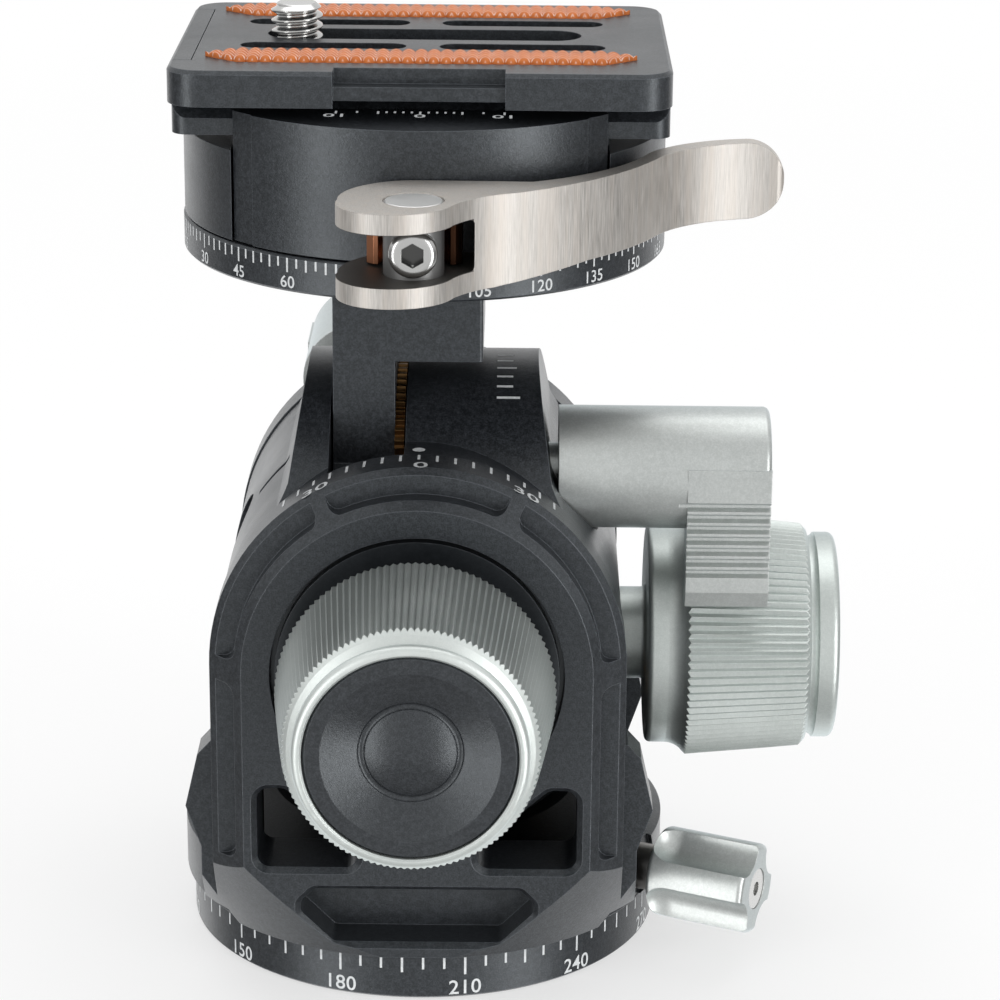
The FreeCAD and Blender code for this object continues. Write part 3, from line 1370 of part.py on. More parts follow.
def clamp_lever_outline():
    """Plan outline: cam nose, outer edge to the tip and inner edge that hugs the drum."""
    def near_pivot(x, y):
        return FreeCAD.Vector(cam_pivot_x + x, cam_pivot_y + y, 0)

    def near_tip(x, share):
        return FreeCAD.Vector(tip_x + x, tip_y + share * lever_thickness, 0)
    flat = cam_pivot_distance - cam_flat_gap
    flat_start, flat_end = near_pivot(cam_flat_start, flat), near_pivot(cam_flat_end, flat)
    nose = near_pivot(-cam_end_distance, 0)
    quarter = near_pivot(cam_quarter[0] * cam_end_distance, cam_quarter[1] * flat)
    belly_side, belly, belly_rise, throat, throat_rise = [near_pivot(x, y) for x, y in lever_belly]
    swell, outer_bend, outer_turn, outer_hollow = [beside_drum(gap, turn) for gap, turn in lever_outer_edge]
    inner_hollow, inner_turn, inner_bend, inner_start = [beside_drum(gap, turn)
                                                         for gap, turn in lever_inner_edge]
    outer_tip, tip_nose, inner_tip = near_tip(-tip_round, 0), near_tip(0, 0.4), near_tip(-tip_round, 0.8)
    return [Part.Arc(flat_start, quarter, nose), Part.Arc(nose, belly_side, belly),
            Part.Arc(belly, belly_rise, throat), Part.Arc(throat, throat_rise, swell),
            Part.Arc(swell, outer_bend, outer_turn), Part.Arc(outer_turn, outer_hollow, outer_tip),
            Part.Arc(outer_tip, tip_nose, inner_tip), Part.Arc(inner_tip, inner_hollow, inner_turn),
            Part.Arc(inner_turn, inner_bend, inner_start),
            Part.LineSegment(inner_start, flat_end), Part.LineSegment(flat_end, flat_start)]


def clamp_lever():
    outline = Part.Wire([curve.toShape() for curve in clamp_lever_outline()])
    low, high = clamp_lever_bottom, clamp_lever_top
    lever = Part.Face(outline).extrude(FreeCAD.Vector(0, 0, high - low))
    lever.translate(FreeCAD.Vector(0, 0, low))
    between = block(-through, ear_gap_right, -through, 0, ear_floor_z, ear_roof_z)
    between = between.makeFillet(ear_gap_corner, edges_along(between, "y", lambda p: p.x > 0))
    pivot = rod("z", cam_barrel_radius + run_gap, low, high, cam_pivot_x, cam_pivot_y)
    arm_low = low + arm_bottom_rise
    below = prism("y", -through, 0, [(arm_rise_x, low - 1), (through, low - 1), (through, arm_low),
                                     (arm_rise_x + arm_rise_length, arm_low), (arm_rise_x, low)])
    middle = (high + arm_low) / 2
    reach = (high - arm_low) / 2
    corner = block(tip_x - reach, through, -through, 0, middle - 2 * reach, middle + 2 * reach)
    keep = rod("y", reach, -through, 0, tip_x - reach, middle)
    return lever.cut([between, pivot, below, corner.cut(keep)])


# ---------------------------------------------------------------- camera plate

def plate_blank():
    slab = block(-plate_half_length, plate_half_length, plate_front_y, plate_rear_y,
                 plate_slab_z, plate_top_z)
    slab = slab.makeFillet(plate_corner, edges_along(slab, "z", lambda p: True))
    rim = [e for e in slab.Edges if e.BoundBox.ZMin > plate_top_z - 0.01]
    slab = slab.makeChamfer(plate_edge_bevel, rim)
    rail = prism("x", -plate_half_length, plate_half_length, dovetail_outline(0))
    ends = edges_along(rail, "z", lambda p: p.z < plate_slab_z - 1)
    rail = rail.makeFillet(plate_corner / 2, ends)
    core = block(-plate_half_length + 2, plate_half_length - 2, -dovetail_half_width + dovetail_neck_inset,
                 dovetail_half_width - dovetail_neck_inset, plate_bottom_z + 1, plate_top_z - 1)
    return fused([slab, rail, core])


def long_slot(x0, x1, y, half, z0, z1):
    """Straight slot with round ends."""
    bar = block(x0 + half, x1 - half, y - half, y + half, z0, z1)
    return bar.fuse(rod("z", half, z0, z1, x0 + half, y)).fuse(rod("z", half, z0, z1, x1 - half, y))


def pad_outline(y, grow):
    """Strip outline with pointed ends."""
    long, wide = pad_half_length + grow, pad_half_width + grow
    return [(-long, y), (-long + pad_point, y - wide), (long - pad_point, y - wide), (long, y),
            (long - pad_point, y + wide), (-long + pad_point, y + wide)]


def qr_plate():
    low, high = plate_bottom_z - 1, plate_top_z + 1
    cutters = [long_slot(-screw_slot_half_length, screw_slot_half_length, pattern_y,
                         screw_slot_half_width, low, high),
               long_slot(-screw_slot_half_length - 3, screw_slot_half_length + 3, pattern_y,
                         screw_channel_half_width, low, screw_channel_top)]
    for row in (-1, 1):
        y = pattern_y + row * slot_row_offset
        cutters.append(long_slot(-slot_outer_x, -slot_inner_x, y, slot_half_width, low, high))
        cutters.append(long_slot(slot_inner_x, slot_outer_x, y, slot_half_width, low, high))
        pad_y = pattern_y + row * pad_offset
        cutters.append(prism("z", pad_floor_z, high, pad_outline(pad_y, pad_play)))
    ledge_z = plate_top_z - notch_ledge_depth
    under_z = plate_top_z - notch_under_depth
    neck_z = plate_bottom_z + dovetail_lip + dovetail_neck_inset - 0.2
    left, right = -notch_half_width, notch_half_width
    cutters.append(block(left, right, -through, notch_wall_y, ledge_z, high))
    cutters.append(block(left, right, -through, notch_ledge_y, low, ledge_z))
    cutters.append(block(left, right, -through, -dovetail_half_width - 0.6, neck_z, under_z))
    stop_z = plate_top_z - end_stop_depth
    cutters.append(block(-through, end_stop_inner_x, end_stop_front_y, end_stop_rear_y, stop_z, high))
    return plate_blank().cut(cutters)


def plate_end_stop():
    """Flush insert in the plate's left end."""
    stop_z = plate_top_z - end_stop_depth
    insert = block(-plate_half_length, end_stop_inner_x - end_stop_play,
                   end_stop_front_y + end_stop_play,
                   end_stop_rear_y - end_stop_play, stop_z, plate_top_z)
    rim = [e for e in insert.Edges if e.BoundBox.ZMin > plate_top_z - 0.01
           and e.BoundBox.XMax < -plate_half_length + 0.01]
    return insert.makeChamfer(plate_edge_bevel, rim)


def plate_pad(row):
    """Ribbed rubber strip with pointed ends."""
    y = pattern_y + row * pad_offset
    return prism("z", pad_floor_z, plate_top_z + pad_rise, pad_outline(y, 0))


def camera_screw():
    """Camera screw with a slotted head and a slim neck; the thread is drawn as a plain stud."""
    head_top = screw_channel_top - camera_retainer_height - seat_gap
    head_low = head_top - camera_head_height
    stud_top = plate_top_z + camera_screw_rise
    thread_top = stud_top - camera_screw_tip
    thread_low = thread_top - camera_thread_length
    head, neck, stud = camera_head_radius, camera_neck_radius, camera_screw_radius
    outline = [(0, head_low), (head - 0.3, head_low), (head, head_low + 0.3), (head, head_top),
               (neck, head_top), (neck, thread_low - (stud - neck)), (stud, thread_low), (stud, thread_top),
               (stud - camera_screw_tip, stud_top), (0, stud_top)]
    screw = turned("z", outline, camera_screw_x, pattern_y)
    half = camera_slot_width / 2
    slot = block(camera_screw_x - through, camera_screw_x + through, pattern_y - half, pattern_y + half,
                 head_low, head_low + camera_slot_depth)
    return screw.cut(slot)


def screw_retainer():
    """Thin washer that keeps the camera screw in the plate's channel."""
    top = screw_channel_top - seat_gap / 2
    low = top - camera_retainer_height
    washer = rod("z", camera_head_radius, low, top, camera_screw_x, pattern_y)
    return washer.cut(rod("z", camera_neck_radius + run_gap, low, top, camera_screw_x, pattern_y))


def parts():
    pieces = {
        "base_ring": base_ring(),
        "base_screws": base_screws(),
        "tripod_bush": tripod_bush(),
        "pan_spindle": pan_spindle(),
        "pan_retainer": pan_retainer(),
        "retainer_screws": retainer_screws(),
        "thrust_washer": thrust_washer(),
        "yoke_frame": yoke_frame(),
        "front_bushing": front_bushing(),
        "roll_ring_gear": roll_ring_gear(),
        "rear_bushing": rear_bushing(),
        "rear_cap": rear_cap(),
        "rear_cap_screws": rear_cap_screws(),
        "pan_lock_screw": pan_lock_screw(),
        "pan_lock_knob": pan_lock_knob(),
        "pan_lock_cap_screw": pan_lock_cap_screw(),
        "roll_body": roll_body(),
        "planet_pins": planet_pins(),
        "pitch_axle": pitch_axle(),
        "axle_plug": axle_plug(),
        "pitch_bushing": pitch_bushing(),
        "roll_knob": roll_knob(),
        "roll_knob_cap": roll_knob_cap(),
        "roll_sun_pinion": roll_sun_pinion(),
        "pitch_knob": pitch_knob(),
        "pitch_knob_cap": pitch_knob_cap(),
        "pitch_pinion": pitch_pinion(),
        "pitch_arm": pitch_arm(),
        "arm_screws": arm_screws(),
        "pitch_gear": pitch_gear(),
        "top_scale_ring": top_scale_ring(),
        "top_spindle": top_spindle(),
        "pitch_lever": pitch_lever(),
        "roll_lever": roll_lever(),
        "clamp_body": clamp_body(),
        "clamp_jaw": clamp_jaw(),
        "guide_pins": guide_pins(),
        "cam_barrel": cam_barrel(),
        "draw_bolt": draw_bolt(),
        "cam_saddle": cam_saddle(),
        "clamp_lever": clamp_lever(),
        "qr_plate": qr_plate(),
        "plate_end_stop": plate_end_stop(),
        "plate_pad_front": plate_pad(-1),
        "plate_pad_rear": plate_pad(1),
        "camera_screw": camera_screw(),
        "screw_retainer": screw_retainer(),
    }
    for index in range(planet_count):
        pieces["planet_gear_%d" % (index + 1)] = planet_gear(index)
    return pieces


os.makedirs("parts", exist_ok=True)
for name, shape in parts().items():
    shape.exportStep("parts/%s.step" % name)
    print(name, len(shape.Solids), shape.isValid(), round(shape.Volume, 2))
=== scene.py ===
import bpy
import json
from math import cos, pi, radians, sin
from mathutils import Matrix, Vector


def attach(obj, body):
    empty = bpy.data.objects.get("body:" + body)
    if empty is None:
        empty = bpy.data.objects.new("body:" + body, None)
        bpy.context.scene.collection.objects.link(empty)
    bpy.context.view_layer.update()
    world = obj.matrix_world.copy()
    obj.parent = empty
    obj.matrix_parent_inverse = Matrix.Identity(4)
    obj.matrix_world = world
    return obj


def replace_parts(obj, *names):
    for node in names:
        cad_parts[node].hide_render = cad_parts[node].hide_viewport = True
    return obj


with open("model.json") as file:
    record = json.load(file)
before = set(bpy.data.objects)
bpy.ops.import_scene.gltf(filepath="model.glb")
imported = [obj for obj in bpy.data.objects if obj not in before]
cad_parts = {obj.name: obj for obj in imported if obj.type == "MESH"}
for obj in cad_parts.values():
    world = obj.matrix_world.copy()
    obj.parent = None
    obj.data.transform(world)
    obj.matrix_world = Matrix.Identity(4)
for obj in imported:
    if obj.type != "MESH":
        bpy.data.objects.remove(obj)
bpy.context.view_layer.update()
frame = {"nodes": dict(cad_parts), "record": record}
nodes = frame["nodes"]
mm = 0.001
printLift = 0.02     # mm that the prints stand above their surface
print("frame loaded:", len(nodes), "CAD nodes")


# camera
camera = {
    "place": (0.011665, -0.414455, 0.195956),
    "lens": 121.746,
    "down": 18.640,       # degrees below the horizon
    "turn": 0.262,        # degrees to the left
    "roll": 0.507,        # degrees about the view
}


def addCamera(values):
    data = bpy.data.cameras.new("headCamera")
    data.sensor_width = 36
    data.lens = values["lens"]
    data.clip_start = 0.01
    data.clip_end = 20
    item = bpy.data.objects.new("headCamera", data)
    bpy.context.scene.collection.objects.link(item)
    item.matrix_world = (Matrix.Translation(values["place"])
                         @ Matrix.Rotation(radians(values["turn"]), 4, "Z")
                         @ Matrix.Rotation(radians(90 - values["down"]), 4, "X")
                         @ Matrix.Rotation(radians(values["roll"]), 4, "Z"))
    bpy.context.scene.camera = item


addCamera(camera)


# node helpers
class Graph:
    def __init__(self, tree):
        self.tree = tree
        self.column = 0

    def add(self, kind, **settings):
        node = self.tree.nodes.new(kind)
        self.column += 1
        node.location = (self.column * 180, -(self.column % 4) * 160)
        for name, value in settings.items():
            setattr(node, name, value)
        return node

    def join(self, source, target):
        self.tree.links.new(source, target)

    def feed(self, target, value):
        if isinstance(value, bpy.types.NodeSocket):
            self.join(value, target)
        else:
            target.default_value = value

    def math(self, operation, first, second=0.0):
        node = self.add("ShaderNodeMath", operation=operation)
        self.feed(node.inputs[0], first)
        self.feed(node.inputs[1], second)
        return node.outputs[0]

    def noise(self, vector, scale, detail=2.0, roughness=0.5):
        node = self.add("ShaderNodeTexNoise")
        self.join(vector, node.inputs["Vector"])
        self.feed(node.inputs["Scale"], scale)
        node.inputs["Detail"].default_value = detail
        node.inputs["Roughness"].default_value = roughness
        return node.outputs["Fac"]

    def ramp(self, value, low, high, outLow=0.0, outHigh=1.0):
        node = self.add("ShaderNodeMapRange")
        self.feed(node.inputs["Value"], value)
        self.feed(node.inputs["From Min"], low)
        self.feed(node.inputs["From Max"], high)
        self.feed(node.inputs["To Min"], outLow)
        self.feed(node.inputs["To Max"], outHigh)
        return node.outputs["Result"]

    def mix(self, factor, first, second):
        node = self.add("ShaderNodeMix", data_type="RGBA")
        self.feed(node.inputs[0], factor)
        self.feed(node.inputs[6], first)
        self.feed(node.inputs[7], second)
        return node.outputs[2]

    def bump(self, height, strength, distance, normal=None):
        node = self.add("ShaderNodeBump")
        self.join(height, node.inputs["Height"])
        self.feed(node.inputs["Strength"], strength)
        self.feed(node.inputs["Distance"], distance)
        if normal is not None:
            self.join(normal, node.inputs["Normal"])
        return node.outputs["Normal"]


def newGroup(name, inputs, outputs):
    tree = bpy.data.node_groups.new(name, "ShaderNodeTree")
    for label, kind, value in inputs:
        socket = tree.interface.new_socket(label, in_out="INPUT", socket_type=kind)
        socket.default_value = value
    for label, kind in outputs:
        tree.interface.new_socket(label, in_out="OUTPUT", socket_type=kind)
    graph = Graph(tree)
    return tree, graph, graph.add("NodeGroupInput"), graph.add("NodeGroupOutput")


def blastGroup():    # fine dimples over soft edges, with a slow change of tone
    tree, graph, given, result = newGroup(
        "blastedSkin",
        [("Grain Size", "NodeSocketFloat", 0.2), ("Depth", "NodeSocketFloat", 0.5),
         ("Edge Radius", "NodeSocketFloat", 0.15)],
        [("Normal", "NodeSocketVector"), ("Grain", "NodeSocketFloat"), ("Cloud", "NodeSocketFloat"),
         ("Edge", "NodeSocketFloat")])
    place = graph.add("ShaderNodeTexCoord").outputs["Object"]
    fineScale = graph.math("DIVIDE", 1000.0, given.outputs["Grain Size"])
    fine = graph.noise(place, fineScale, 3.0, 0.6)
    coarse = graph.noise(place, graph.math("MULTIPLY", fineScale, 0.34), 2.0, 0.5)
    grain = graph.math("ADD", graph.math("MULTIPLY", fine, 0.65), graph.math("MULTIPLY", coarse, 0.35))
    bevel = graph.add("ShaderNodeBevel", samples=4)
    graph.join(graph.math("MULTIPLY", given.outputs["Edge Radius"], mm), bevel.inputs["Radius"])
    shape = graph.add("ShaderNodeNewGeometry").outputs["Normal"]
    turn = graph.add("ShaderNodeVectorMath", operation="DOT_PRODUCT")
    graph.join(bevel.outputs["Normal"], turn.inputs[0])
    graph.join(shape, turn.inputs[1])
    edge = graph.ramp(turn.outputs["Value"], 0.995, 0.90)
    normal = graph.bump(grain, given.outputs["Depth"], 0.04 * mm, bevel.outputs["Normal"])
    cloud = graph.noise(place, 90.0, 3.0, 0.55)
    graph.join(normal, result.inputs["Normal"])
    graph.join(grain, result.inputs["Grain"])
    graph.join(cloud, result.inputs["Cloud"])
    graph.join(edge, result.inputs["Edge"])
    return tree


def latheGroup():    # fine rings round an axis through a given point
    tree, graph, given, result = newGroup(
        "latheMarks",
        [("Centre", "NodeSocketVector", (0.0, 0.0, 0.0)), ("Axis", "NodeSocketVector", (0.0, 0.0, 1.0)),
         ("Spacing", "NodeSocketFloat", 0.12)],
        [("Rings", "NodeSocketFloat")])
    place = graph.add("ShaderNodeTexCoord").outputs["Object"]
    local = graph.add("ShaderNodeVectorMath", operation="SUBTRACT")
    graph.join(place, local.inputs[0])
    graph.join(given.outputs["Centre"], local.inputs[1])
    along = graph.add("ShaderNodeVectorMath", operation="DOT_PRODUCT")
    graph.join(local.outputs[0], along.inputs[0])
    graph.join(given.outputs["Axis"], along.inputs[1])
    aside = graph.add("ShaderNodeVectorMath", operation="CROSS_PRODUCT")
    graph.join(local.outputs[0], aside.inputs[0])
    graph.join(given.outputs["Axis"], aside.inputs[1])
    radius = graph.add("ShaderNodeVectorMath", operation="LENGTH")
    graph.join(aside.outputs[0], radius.inputs[0])
    pair = graph.add("ShaderNodeCombineXYZ")
    scale = graph.math("DIVIDE", 1000.0, given.outputs["Spacing"])
    graph.join(graph.math("MULTIPLY", radius.outputs["Value"], scale), pair.inputs["X"])
    graph.join(graph.math("MULTIPLY", along.outputs["Value"], scale), pair.inputs["Y"])
    graph.join(graph.noise(pair.outputs[0], 1.0, 2.0, 0.6), result.inputs["Rings"])
    return tree


def brushGroup():    # straight grain that runs along one direction
    tree, graph, given, result = newGroup(
        "brushedGrain",
        [("Squash", "NodeSocketVector", (1.0, 1.0, 0.03)), ("Width", "NodeSocketFloat", 0.1)],
        [("Grain", "NodeSocketFloat"), ("Streak", "NodeSocketFloat")])
    place = graph.add("ShaderNodeTexCoord").outputs["Object"]
    squashed = graph.add("ShaderNodeVectorMath", operation="MULTIPLY")
    graph.join(place, squashed.inputs[0])
    graph.join(given.outputs["Squash"], squashed.inputs[1])
    scale = graph.math("DIVIDE", 1000.0, given.outputs["Width"])
    grain = graph.noise(squashed.outputs[0], scale, 3.0, 0.65)
    streak = graph.noise(squashed.outputs[0], graph.math("MULTIPLY", scale, 0.12), 2.0, 0.5)
    graph.join(grain, result.inputs["Grain"])
    graph.join(streak, result.inputs["Streak"])
    return tree


def zoneGroup():    # 1 inside a box given by two corners
    tree, graph, given, result = newGroup(
        "zoneMask",
        [("Low", "NodeSocketVector", (0.0, 0.0, 0.0)), ("High", "NodeSocketVector", (0.0, 0.0, 0.0))],
        [("Mask", "NodeSocketFloat")])
    place = graph.add("ShaderNodeTexCoord").outputs["Object"]
    above = graph.add("ShaderNodeVectorMath", operation="SUBTRACT")
    below = graph.add("ShaderNodeVectorMath", operation="SUBTRACT")
    inner = graph.add("ShaderNodeVectorMath", operation="MINIMUM")
    graph.join(place, above.inputs[0])
    graph.join(given.outputs["Low"], above.inputs[1])
    graph.join(given.outputs["High"], below.inputs[0])
    graph.join(place, below.inputs[1])
    graph.join(above.outputs[0], inner.inputs[0])
    graph.join(below.outputs[0], inner.inputs[1])
    split = graph.add("ShaderNodeSeparateXYZ")
    graph.join(inner.outputs[0], split.inputs[0])
    least = graph.math("MINIMUM", split.outputs["X"], graph.math("MINIMUM", split.outputs["Y"],
                                                                 split.outputs["Z"]))
    graph.join(graph.math("GREATER_THAN", least, 0.0), result.inputs["Mask"])
    return tree


blastedSkin = blastGroup()
latheMarks = latheGroup()
brushedGrain = brushGroup()
zoneMask = zoneGroup()


def useGroup(graph, tree, **values):
    node = graph.add("ShaderNodeGroup", node_tree=tree)
    for name, value in values.items():
        node.inputs[name.replace("_", " ")].default_value = value
    return node


def zoneOf(graph, look):    # the look's painted shade box: low corner, high corner in mm, share of light left in it
    low, high = look["paintedShade"][:2]
    mask = useGroup(graph, zoneMask, Low=[v * mm for v in low], High=[v * mm for v in high])
    return mask.outputs["Mask"]


# painted shade: the colour is scaled down inside the look's box
def shaded(graph, colour, look):
    if "paintedShade" not in look:
        return colour
    dim = graph.add("ShaderNodeVectorMath", operation="SCALE")
    graph.join(colour, dim.inputs[0])
    graph.join(graph.ramp(zoneOf(graph, look), 0.0, 1.0, 1.0, look["paintedShade"][2]), dim.inputs["Scale"])
    return dim.outputs[0]


def newMaterial(name):
    material = bpy.data.materials.new(name)
    material.use_nodes = True
    material.node_tree.nodes.clear()
    graph = Graph(material.node_tree)
    surface = graph.add("ShaderNodeBsdfPrincipled")
    output = graph.add("ShaderNodeOutputMaterial")
    graph.join(surface.outputs[0], output.inputs["Surface"])
    return material, graph, surface


def turned(graph, normal, look):    # lathe rings: centre in mm, axis, spacing in mm, depth
    if "lathe" not in look:
        return normal
    centre, axis, spacing, depth = look["lathe"]
    rings = useGroup(graph, latheMarks, Centre=[v * mm for v in centre], Axis=axis, Spacing=spacing)
    return graph.bump(rings.outputs["Rings"], depth, 0.02 * mm, normal)


def blastedMaterial(name, look):
    material, graph, surface = newMaterial(name)
    skin = useGroup(graph, blastedSkin, Grain_Size=look["grain"], Depth=look["depth"],
                    Edge_Radius=look["edgeRadius"])
    cloudy = graph.mix(graph.ramp(skin.outputs["Cloud"], 0.3, 0.7), look["dark"], look["pale"])
    speckled = graph.mix(graph.ramp(skin.outputs["Grain"], 0.42, 0.68, 0.0, look["speckle"]),
                         cloudy, look["spark"])
    # paler edges: partly edge wear, partly a painted highlight along the edges
    wear = graph.math("MULTIPLY", skin.outputs["Edge"], look["edge"])
    wornAndHighlightedEdges = graph.mix(wear, speckled, look["spark"])
    graph.join(shaded(graph, wornAndHighlightedEdges, look), surface.inputs["Base Color"])
    surface.inputs["Metallic"].default_value = look["metal"]
    # painted shade: inside the box the reflections are dimmed too
    if "paintedShade" in look:
        dimmed = look["shine"] * look["paintedShade"][2]
        graph.join(graph.ramp(zoneOf(graph, look), 0.0, 1.0, look["shine"], dimmed),
                   surface.inputs["Specular IOR Level"])
    else:
        surface.inputs["Specular IOR Level"].default_value = look["shine"]
    surface.inputs["Specular Tint"].default_value = (0.90, 0.96, 1.0, 1)
    graph.join(graph.ramp(skin.outputs["Cloud"], 0.3, 0.7, look["rough"] - 0.04, look["rough"] + 0.04),
               surface.inputs["Roughness"])
    graph.join(turned(graph, skin.outputs["Normal"], look), surface.inputs["Normal"])
    return material


def brushedMaterial(name, look):
    material, graph, surface = newMaterial(name)
    brush = useGroup(graph, brushedGrain, Squash=look["squash"], Width=look["width"])
    skin = useGroup(graph, blastedSkin, Grain_Size=0.3, Depth=0.05, Edge_Radius=look["edgeRadius"])
    tone = graph.mix(graph.ramp(brush.outputs["Grain"], 0.3, 0.7), look["dark"], look["pale"])
    warmed = graph.mix(graph.ramp(brush.outputs["Streak"], 0.42, 0.75, 0.0, 0.5), tone, look["warm"])
    graph.join(shaded(graph, warmed, look), surface.inputs["Base Color"])
    surface.inputs["Metallic"].default_value = 1.0
    graph.join(graph.ramp(brush.outputs["Grain"], 0.3, 0.7, look["rough"] - 0.06, look["rough"] + 0.08),
               surface.inputs["Roughness"])
    graph.join(graph.bump(brush.outputs["Grain"], look["depth"], 0.02 * mm, skin.outputs["Normal"]),
               surface.inputs["Normal"])
    return material


def plainMetal(name, look):
    material, graph, surface = newMaterial(name)
    skin = useGroup(graph, blastedSkin, Grain_Size=0.5, Depth=look["depth"], Edge_Radius=0.1)
    tone = graph.mix(graph.ramp(skin.outputs["Cloud"], 0.3, 0.7), look["dark"], look["pale"])
    graph.join(shaded(graph, tone, look), surface.inputs["Base Color"])
    surface.inputs["Metallic"].default_value = 1.0
    graph.join(graph.ramp(skin.outputs["Cloud"], 0.3, 0.7, look["rough"], look["rough"] + 0.06),
               surface.inputs["Roughness"])
    graph.join(turned(graph, skin.outputs["Normal"], look), surface.inputs["Normal"])
    return material


def rubberMaterial(name, look):    # rows of light chevrons on orange rubber
    material, graph, surface = newMaterial(name)
    place = graph.add("ShaderNodeTexCoord").outputs["Object"]
    split = graph.add("ShaderNodeSeparateXYZ")
    graph.join(place, split.inputs[0])
    pitch = look["pitch"] * mm
    wave = graph.math("PINGPONG", split.outputs["X"], pitch / 2)
    shifted = graph.math("ADD", split.outputs["Y"], graph.math("MULTIPLY", wave, look["lean"]))
    row = graph.math("PINGPONG", shifted, look["row"] * mm / 2)
    line = graph.ramp(row, look["row"] * mm * 0.05, look["row"] * mm * 0.15, 1.0, 0.0)
    speckle = graph.noise(place, 2600.0, 2.0, 0.6)
    top = graph.ramp(split.outputs["Z"], look["top"] * mm - 0.55 * mm, look["top"] * mm - 0.40 * mm)
    valley = graph.ramp(wave, pitch * 0.12, pitch * 0.45, look["ribShare"], 1.0)
    thread = graph.math("MULTIPLY", graph.math("MULTIPLY", line, top),
                        graph.math("MULTIPLY", valley, graph.ramp(speckle, 0.35, 0.6, 0.35, 1.0)))
    cloud = graph.noise(place, 500.0, 3.0, 0.6)
    ground = graph.mix(graph.ramp(cloud, 0.3, 0.7), look["dark"], look["pale"])
    graph.join(graph.mix(thread, ground, look["thread"]), surface.inputs["Base Color"])
    graph.join(graph.ramp(thread, 0.0, 1.0, 0.62, 0.5), surface.inputs["Roughness"])
    surface.inputs["Specular IOR Level"].default_value = 0.35
    height = graph.math("ADD", thread, graph.math("MULTIPLY", speckle, 0.5))
    graph.join(graph.bump(height, 0.6, 0.06 * mm), surface.inputs["Normal"])
    return material


def printMaterial(name, look, glow=0.0):
    material, graph, surface = newMaterial(name)
    place = graph.add("ShaderNodeTexCoord").outputs["Object"]
    wear = graph.noise(place, 1800.0, 3.0, 0.6)
    graph.join(graph.mix(graph.ramp(wear, 0.35, 0.65), look["dark"], look["pale"]),
               surface.inputs["Base Color"])
    surface.inputs["Roughness"].default_value = 0.55
    # painted light: the print glows with the given strength
    surface.inputs["Emission Color"].default_value = look["pale"]
    surface.inputs["Emission Strength"].default_value = glow
    graph.join(graph.bump(wear, 0.25, 0.02 * mm), surface.inputs["Normal"])
    return material


# finishes
finishes = {
    "blackCase": {"dark": (0.0050, 0.0058, 0.0072, 1), "pale": (0.0080, 0.0092, 0.0112, 1),
                  "spark": (0.10, 0.11, 0.125, 1), "speckle": 0.34, "edge": 0.8, "metal": 0.0,
                  "shine": 0.72, "rough": 0.36, "grain": 0.20, "depth": 0.9, "edgeRadius": 0.16},
    "blackTurned": {"dark": (0.0050, 0.0058, 0.0072, 1), "pale": (0.0075, 0.0085, 0.0105, 1),
                    "spark": (0.08, 0.09, 0.10, 1), "speckle": 0.12, "edge": 0.35, "metal": 0.0,
                    "shine": 0.75, "rough": 0.32, "grain": 0.16, "depth": 0.3, "edgeRadius": 0.12},
    "capBlack": {"dark": (0.0050, 0.0056, 0.0068, 1), "pale": (0.0075, 0.0084, 0.0100, 1),
                 "spark": (0.09, 0.097, 0.11, 1), "speckle": 0.3, "edge": 0.3, "metal": 0.0,
                 "shine": 0.75, "rough": 0.33, "grain": 0.18, "depth": 0.8, "edgeRadius": 0.15},
    "knobGrey": {"dark": (0.50, 0.54, 0.52, 1), "pale": (0.57, 0.61, 0.59, 1),
                 "spark": (0.80, 0.83, 0.81, 1), "speckle": 0.3, "edge": 0.6, "metal": 0.85,
                 "shine": 0.5, "rough": 0.42, "grain": 0.18, "depth": 0.35, "edgeRadius": 0.10},
    "leverGrey": {"dark": (0.50, 0.525, 0.512, 1), "pale": (0.565, 0.59, 0.575, 1),
                  "spark": (0.78, 0.80, 0.79, 1), "speckle": 0.4, "edge": 0.6, "metal": 0.85,
                  "shine": 0.5, "rough": 0.40, "grain": 0.22, "depth": 0.5, "edgeRadius": 0.14},
}
finishes["rollKnobGrey"] = dict(    # paler copy of knobGrey with painted light on the nose; the knurl darker than the nose by painted shade, reflections included
    finishes["knobGrey"], dark=(0.60, 0.64, 0.62, 1), pale=(0.68, 0.72, 0.70, 1), rough=0.46,
    paintedShade=((-30, -54.2, 20), (30, -20, 70), 0.60))
finishes["innerYoke"] = dict(    # shade between the arches
    finishes["blackCase"], paintedShade=((-24.5, -22.4, 15), (24.5, 29.4, 31), 0.12))
finishes["innerBarrel"] = dict(    # painted shade under the roll body
    finishes["blackCase"], paintedShade=((-22, -32, 17), (22, 32, 33), 0.12))
brushedLever = {"dark": (0.40, 0.38, 0.355, 1), "pale": (0.66, 0.635, 0.605, 1),
                "warm": (0.58, 0.525, 0.47, 1), "rough": 0.54, "width": 0.12, "depth": 0.6,
                "edgeRadius": 0.15, "squash": (1.0, 1.0, 0.035),
                "paintedShade": ((-9.6, -60, 96.95), (6.7, 0, 103.15), 0.25)}    # painted shade inside the fork
